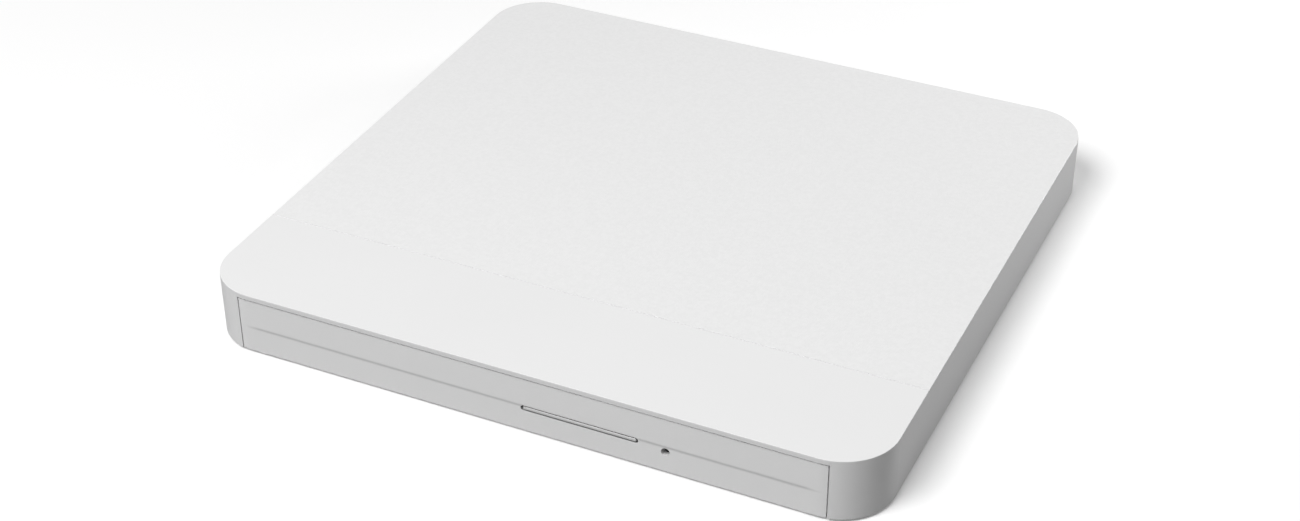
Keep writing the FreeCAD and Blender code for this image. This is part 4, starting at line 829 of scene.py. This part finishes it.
# %% Tree for cross-head screws
screw_tree, given = new_tree("cross_head_screw", [
    ("Head Radius", "Float", 1.9 * MM),
    ("Head Height", "Float", 0.8 * MM),
    ("Dome", "Float", 0.45),
    ("Recess Length", "Float", 2.2 * MM),
    ("Recess Width", "Float", 0.5 * MM),
    ("Recess Depth", "Float", 0.4 * MM),
    ("Shank Radius", "Float", 0.8 * MM),
    ("Shank Length", "Float", 4.0 * MM),
    ("Finish", "Material", None),
])
half_height = product(screw_tree, given["Head Height"], 0.5)
head = node(screw_tree, "GeometryNodeMeshCylinder", {
    "Vertices": 32, "Side Segments": 6, "Radius": given["Head Radius"],
    "Depth": given["Head Height"],
})
standing = moved(screw_tree, head.outputs["Mesh"], vector_of(screw_tree, 0.0, 0.0, half_height))
place = node(screw_tree, "GeometryNodeInputPosition").outputs[0]
parts = node(screw_tree, "ShaderNodeSeparateXYZ", {0: place})
rise = calculate(screw_tree, "DIVIDE", parts.outputs[2], given["Head Height"])
pull = product(screw_tree, calculate(screw_tree, "POWER", rise, 3.0), given["Dome"])
squeeze = calculate(screw_tree, "SQRT", calculate(screw_tree, "SUBTRACT", 1.0, pull))
domed = node(screw_tree, "GeometryNodeSetPosition", {
    "Geometry": standing,
    "Position": vector_of(screw_tree, product(screw_tree, parts.outputs[0], squeeze),
                          product(screw_tree, parts.outputs[1], squeeze),
                          parts.outputs[2]),
}).outputs[0]
cut_height = product(screw_tree, given["Recess Depth"], 2.0)
at_top = vector_of(screw_tree, 0.0, 0.0, given["Head Height"])
recessed = domed
for wide, long in (("Recess Width", "Recess Length"), ("Recess Length", "Recess Width")):
    bar = node(screw_tree, "GeometryNodeMeshCube",
               {"Size": vector_of(screw_tree, given[wide], given[long], cut_height)})
    recessed = node(screw_tree, "GeometryNodeMeshBoolean",
                    {0: recessed, 1: moved(screw_tree, bar.outputs["Mesh"], at_top)},
                    operation="DIFFERENCE").outputs[0]
shank = node(screw_tree, "GeometryNodeMeshCylinder", {
    "Vertices": 20, "Radius": given["Shank Radius"], "Depth": given["Shank Length"],
})
half_shank = product(screw_tree, given["Shank Length"], -0.5)
hanging = moved(screw_tree, shank.outputs["Mesh"], vector_of(screw_tree, 0.0, 0.0, half_shank))
set_out(screw_tree, given, recessed, hanging)
print("screw tree nodes:", len(screw_tree.nodes))

# %% Dress a group of screws
FACING_UP = (0.0, 0.0, 0.0)
FACING_DOWN = (math.pi, 0.0, 0.0)
FACING_RIGHT = (0.0, math.pi / 2, 0.0)
FACING_LEFT = (0.0, -math.pi / 2, 0.0)
wall_screw_height = 2.4 * MM
wall_x = 60 * MM


def set_screws(node_name, body, turn_of, head_height, shank_radius):
    """Replaces the plain screws of one CAD node by recessed ones at the same places."""
    places, turns, lengths, radii = [], [], [], []
    for low, high in solid_boxes(node_name):
        turn = turn_of(low, high)
        middle = (low + high) / 2
        axis = 0 if turn in (FACING_LEFT, FACING_RIGHT) else 2
        if turn in (FACING_DOWN, FACING_LEFT):
            middle[axis] = low[axis] + head_height
        else:
            middle[axis] = high[axis] - head_height
        places.append(middle)
        turns.append(turn)
        lengths.append(high[axis] - low[axis] - head_height)
        radii.append((high[1] - low[1]) / 2)
    made = grow(node_name + "_crossed", screw_tree, places, turns, {
        "Head Radius": min(radii), "Head Height": head_height,
        "Recess Length": 1.25 * min(radii), "Recess Width": 0.26 * min(radii),
        "Recess Depth": 0.6 * head_height, "Shank Radius": shank_radius,
        "Shank Length": min(lengths), "Finish": screw_steel,
    })
    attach(made, body)
    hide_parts(node_name)


def chassis_turn(low, high):
    """The screws in the side walls face outwards, and those in the board face up."""
    if high.z - low.z > wall_screw_height and high.x > wall_x:
        return FACING_RIGHT
    if high.z - low.z > wall_screw_height and low.x < -wall_x:
        return FACING_LEFT
    return FACING_UP


# %% Set the screws
set_screws("case_screws", "case", lambda low, high: FACING_DOWN,
           head_height=0.8 * MM, shank_radius=0.9 * MM)
set_screws("chassis_screws", "case", chassis_turn,
           head_height=0.4 * MM, shank_radius=0.6 * MM)
set_screws("plate_screws", "tray", lambda low, high: FACING_UP,
           head_height=0.4 * MM, shank_radius=0.6 * MM)
set_screws("damper_screws", "tray", lambda low, high: FACING_DOWN,
           head_height=0.4 * MM, shank_radius=0.8 * MM)

# %% [markdown]
# ## Pins and contacts
# Chips stand on rows of bent pins, and the socket's tongue carries flat contacts. A second tree
# makes one pin from a shoulder, a leg and a foot, whose sizes are its inputs, and copies it to
# every point. A contact is the same pin without a drop.

# %% Tree for pins
pin_tree, given = new_tree("bent_pin", [
    ("Width", "Float", 0.25 * MM),
    ("Thickness", "Float", 0.12 * MM),
    ("Shoulder", "Float", 0.35 * MM),
    ("Drop", "Float", 0.35 * MM),
    ("Foot", "Float", 0.45 * MM),
    ("Finish", "Material", None),
])


def pin_block(long, tall, x, z):
    """One straight stretch of the pin, as a block of the pin's width."""
    bar = node(pin_tree, "GeometryNodeMeshCube",
               {"Size": vector_of(pin_tree, long, given["Width"], tall)})
    return moved(pin_tree, bar.outputs["Mesh"], vector_of(pin_tree, x, 0.0, z))


thin = given["Thickness"]
half_thin = product(pin_tree, thin, 0.5)
leg_height = calculate(pin_tree, "ADD", given["Drop"], thin)
shoulder_block = pin_block(
    given["Shoulder"], thin, product(pin_tree, given["Shoulder"], 0.5),
    calculate(pin_tree, "ADD", given["Drop"], half_thin))
leg_block = pin_block(
    thin, leg_height, calculate(pin_tree, "SUBTRACT", given["Shoulder"], half_thin),
    product(pin_tree, leg_height, 0.5))
half_foot = product(pin_tree, given["Foot"], 0.5)
foot_block = pin_block(
    given["Foot"], thin, calculate(pin_tree, "ADD", given["Shoulder"], half_foot), half_thin)
set_out(pin_tree, given, shoulder_block, leg_block, foot_block)
print("pin tree nodes:", len(pin_tree.nodes))

# %% Pins round the chips
pin_pitch = 0.8 * MM
corner_margin = 0.6 * MM
smallest_chip = 4.5 * MM


def pins_round(low, high, pitch):
    """Places and turns of pins along the four sides of a chip, pointing outwards."""
    places, turns = [], []
    for side in range(4):
        along, out = (1, 0) if side % 2 == 0 else (0, 1)
        sign = 1 if side < 2 else -1
        length = high[along] - low[along]
        count = int((length - corner_margin) / pitch)
        middle = (low[along] + high[along]) / 2
        for index in range(count):
            place = Vector((0.0, 0.0, low.z))
            place[along] = middle + (index - (count - 1) / 2) * pitch
            place[out] = high[out] if sign > 0 else low[out]
            places.append(place)
            turns.append((0.0, 0.0, side * math.pi / 2))
    return places, turns


pin_places, pin_turns = [], []
for low, high in solid_boxes("board_chips"):
    if high.x - low.x > smallest_chip:
        found_places, found_turns = pins_round(low, high, pin_pitch)
        pin_places += found_places
        pin_turns += found_turns
chip_pins = grow("chip_pins", pin_tree, pin_places, pin_turns, {
    "Width": 0.32 * MM, "Shoulder": 0.4 * MM, "Finish": bright_steel,
})
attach(chip_pins, "case")

# %% Contacts on the socket tongue
tongue_low, tongue_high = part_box("usb_tongue")
contact_count = 5
contact_pitch = 0.65 * MM
contact_length = 3.6 * MM
contact_setback = 0.4 * MM
tongue_middle = (tongue_low.x + tongue_high.x) / 2
contact_places = [
    Vector((tongue_middle + (index - (contact_count - 1) / 2) * contact_pitch,
            tongue_high.y - contact_setback, tongue_high.z))
    for index in range(contact_count)
]
socket_contacts = grow("socket_contacts", pin_tree, contact_places,
                       [(0.0, 0.0, -math.pi / 2)] * contact_count, {
                           "Width": 0.35 * MM, "Thickness": 0.05 * MM, "Shoulder": 0.3 * MM,
                           "Drop": 0.0, "Foot": contact_length, "Finish": brass_screw})
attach(socket_contacts, "case")

# %% [markdown]
# ## Lead screw
# The pickup is driven by a turned screw with a coarse two-start thread: one turn moves it by
# the lead, which the mechanism's coupling gives, and two grooves share that lead. The thread is
# a ring of points whose radius follows the winding, repeated along the shaft, which is easier
# to keep clean than a swept groove cut from a rod. The winding is left-handed, so that a
# positive turn carries the pickup outwards.

# %% Meshes made of rings
def ringed_object(name, points, around, material, sharp_above=35):
    """A closed mesh of rings of points that follow each other, with a cap at both ends."""
    rings = len(points) // around
    faces = []
    for ring in range(rings - 1):
        for corner in range(around):
            after = (corner + 1) % around
            faces.append((ring * around + corner, ring * around + after,
                          (ring + 1) * around + after, (ring + 1) * around + corner))
    faces.append(tuple(range(around)))
    faces.append(tuple(range(len(points) - around, len(points))))
    mesh = bpy.data.meshes.new(name)
    mesh.from_pydata([tuple(point) for point in points], [], faces)
    shape = bmesh.new()
    shape.from_mesh(mesh)
    bmesh.ops.recalc_face_normals(shape, faces=shape.faces)
    shape.to_mesh(mesh)
    shape.free()
    mesh.materials.append(material)
    soften(mesh, sharp_above)
    return add_object(name, mesh)


# %% Measure the lead screw
outwards = Vector((-math.sqrt(0.5), -math.sqrt(0.5), 0.0))
across = Vector((-math.sqrt(0.5), math.sqrt(0.5), 0.0))
couplings = frame["record"]["behaviour"]["couplings"]
turn_rate = next(c["ratio"] for c in couplings if c["joint"] == "lead_screw_spin")
thread_lead = 2 * math.pi / turn_rate
screw_low, screw_high = reach("lead_screw", outwards)
side_low, side_high = reach("lead_screw", across)
screw_side = (side_low + side_high) / 2
screw_radius = (side_high - side_low) / 2
screw_z = sum(reach("lead_screw", (0, 0, 1))) / 2
print("thread lead, mm:", round(thread_lead / MM, 3))

# %% Threaded screw
thread_starts = 2
groove_depth = 0.28 * MM
journal_length = 1.2 * MM
journal_radius = 0.5 * MM
round_steps = 24
rings_per_lead = 28
crest_turns = [0.15, 0.45]      # where the crest starts and ends, in turns of the profile
flank_end = 0.6


def thread_radius(along, angle):
    """The radius where the thread's winding puts a crest, a flank or a groove."""
    phase = (thread_starts * (along / thread_lead + angle / (2 * math.pi))) % 1.0
    root = screw_radius - groove_depth
    return float(np.interp(phase, [0, *crest_turns, flank_end, 1.0],
                           [root, screw_radius, screw_radius, root, root]))


thread_length = screw_high - screw_low - 2 * journal_length
ring_count = int(thread_length / thread_lead * rings_per_lead)
profile = [(0.0, journal_radius, False), (journal_length, journal_radius, False)]
for index in range(ring_count + 1):
    profile.append((journal_length + thread_length * index / ring_count, screw_radius, True))
profile += [(screw_high - screw_low - journal_length, journal_radius, False),
            (screw_high - screw_low, journal_radius, False)]
screw_points = []
for along, radius, threaded in profile:
    for spoke in range(round_steps):
        angle = 2 * math.pi * spoke / round_steps
        size = thread_radius(along, angle) if threaded else radius
        side_step = across * (screw_side + size * math.cos(angle))
        place = outwards * (screw_low + along) + side_step
        place.z = screw_z - size * math.sin(angle)
        screw_points.append(place)
threaded_screw = ringed_object("threaded_lead_screw", screw_points, round_steps,
                               brass_screw)
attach(threaded_screw, "lead_screw")
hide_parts("lead_screw")
print("thread rings:", ring_count)

# %% [markdown]
# ## Springs
# Each coil spring is a round wire swept along a helix, whose end turns lie closed as on a real
# compression spring. One end sits on one body and the other on the piece that it pushes.

# %% Wind a coil
coil_steps = 20     # rings in one turn of the helix
wire_sides = 8


def coil_spring(name, start, end, outer_radius, wire_radius, turns):
    """A closed-end spring between two points."""
    axis = (end - start).normalized()
    length = (end - start).length
    side = axis.orthogonal().normalized()
    third = axis.cross(side)
    stations = [0, 1, turns - 1, turns]
    heights = [wire_radius, 3 * wire_radius, length - 3 * wire_radius, length - wire_radius]
    points = []
    for index in range(turns * coil_steps + 1):
        angle = 2 * math.pi * index / coil_steps
        spoke = side * math.cos(angle) + third * math.sin(angle)
        along = float(np.interp(index / coil_steps, stations, heights))
        centre = start + axis * along + spoke * (outer_radius - wire_radius)
        for corner in range(wire_sides):
            tilt = 2 * math.pi * corner / wire_sides
            points.append(centre + wire_radius * (spoke * math.cos(tilt) + axis * math.sin(tilt)))
    made = ringed_object(name, points, wire_sides, bright_steel, sharp_above=50)
    return made


def along_box(low, high):
    """The middles of a box's front and back ends, and half its width."""
    x, z = (low.x + high.x) / 2, (low.z + high.z) / 2
    return Vector((x, low.y, z)), Vector((x, high.y, z)), (high.x - low.x) / 2


# %% Springs of the ejector and the latch
push_wire, push_turns = 0.16 * MM, 13
pull_wire, pull_turns = 0.11 * MM, 9

push_front, push_back, push_radius = along_box(*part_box("ejector_spring"))
push_spring = coil_spring("ejector_coil", push_front, push_back, push_radius, push_wire,
                          push_turns)
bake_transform(push_spring)
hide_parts("ejector_spring")

pull_front, pull_back, pull_radius = along_box(*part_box("latch_spring"))
latch_coil = coil_spring("latch_coil", pull_back, pull_front, pull_radius, pull_wire,
                         pull_turns)
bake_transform(latch_coil)
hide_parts("latch_spring")
print("ejector coil, mm:", round((push_back - push_front).length / MM, 2))

# %% Springs of the three claws
claw_count = 3
claw_inner = 2.4 * MM
claw_outer = 4.0 * MM
claw_coil_radius = 0.5 * MM
claw_wire = 0.08 * MM
claw_turns = 6

hub_low, hub_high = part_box("turntable")
claw_low, claw_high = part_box("claw_springs")
centre = (hub_low + hub_high) / 2
centre.z = (claw_low.z + claw_high.z) / 2
for number in range(1, claw_count + 1):
    turn = 2 * math.pi * (number - 1) / claw_count
    spoke = Vector((math.cos(turn), math.sin(turn), 0.0))
    inner_end = centre + spoke * claw_inner
    outer_end = centre + spoke * claw_outer
    claw_coil = coil_spring(f"claw_coil_{number}", inner_end, outer_end, claw_coil_radius,
                            claw_wire, claw_turns)
    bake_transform(claw_coil)
    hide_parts("claw_springs")
print("claw coils:", claw_count)

# %% [markdown]
# ## Flat cable
# The tray is wired to the board at the back by a flat cable that folds over itself. When the
# tray moves out, the fold rolls along with the slides at half its speed: the part below the fold
# grows and the part above gets shorter. The lower run and the upper run are copies of the solid
# film, sliced across their length.

# %% Cable runs
slice_spacing = 2.5 * MM


def sliced_copy(name, node_name):
    """A copy of a CAD node cut across Y, for a piece that stretches along Y."""
    shape = welded(node_name)
    low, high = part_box(node_name)
    cuts = int((high.y - low.y) / slice_spacing)
    for index in range(1, cuts):
        cut_across(shape, 1, low.y + (high.y - low.y) * index / cuts)
    mesh = bpy.data.meshes.new(name)
    shape.to_mesh(mesh)
    shape.free()
    mesh.materials.clear()
    mesh.materials.append(cable_film)
    soften(mesh)
    made = add_object(name, mesh)
    return made


lower_run = sliced_copy("cable_lower_run", "cable_lower")
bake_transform(lower_run)
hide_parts("cable_lower")
upper_run = sliced_copy("cable_upper_run", "cable_upper")
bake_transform(upper_run)
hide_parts("cable_upper")
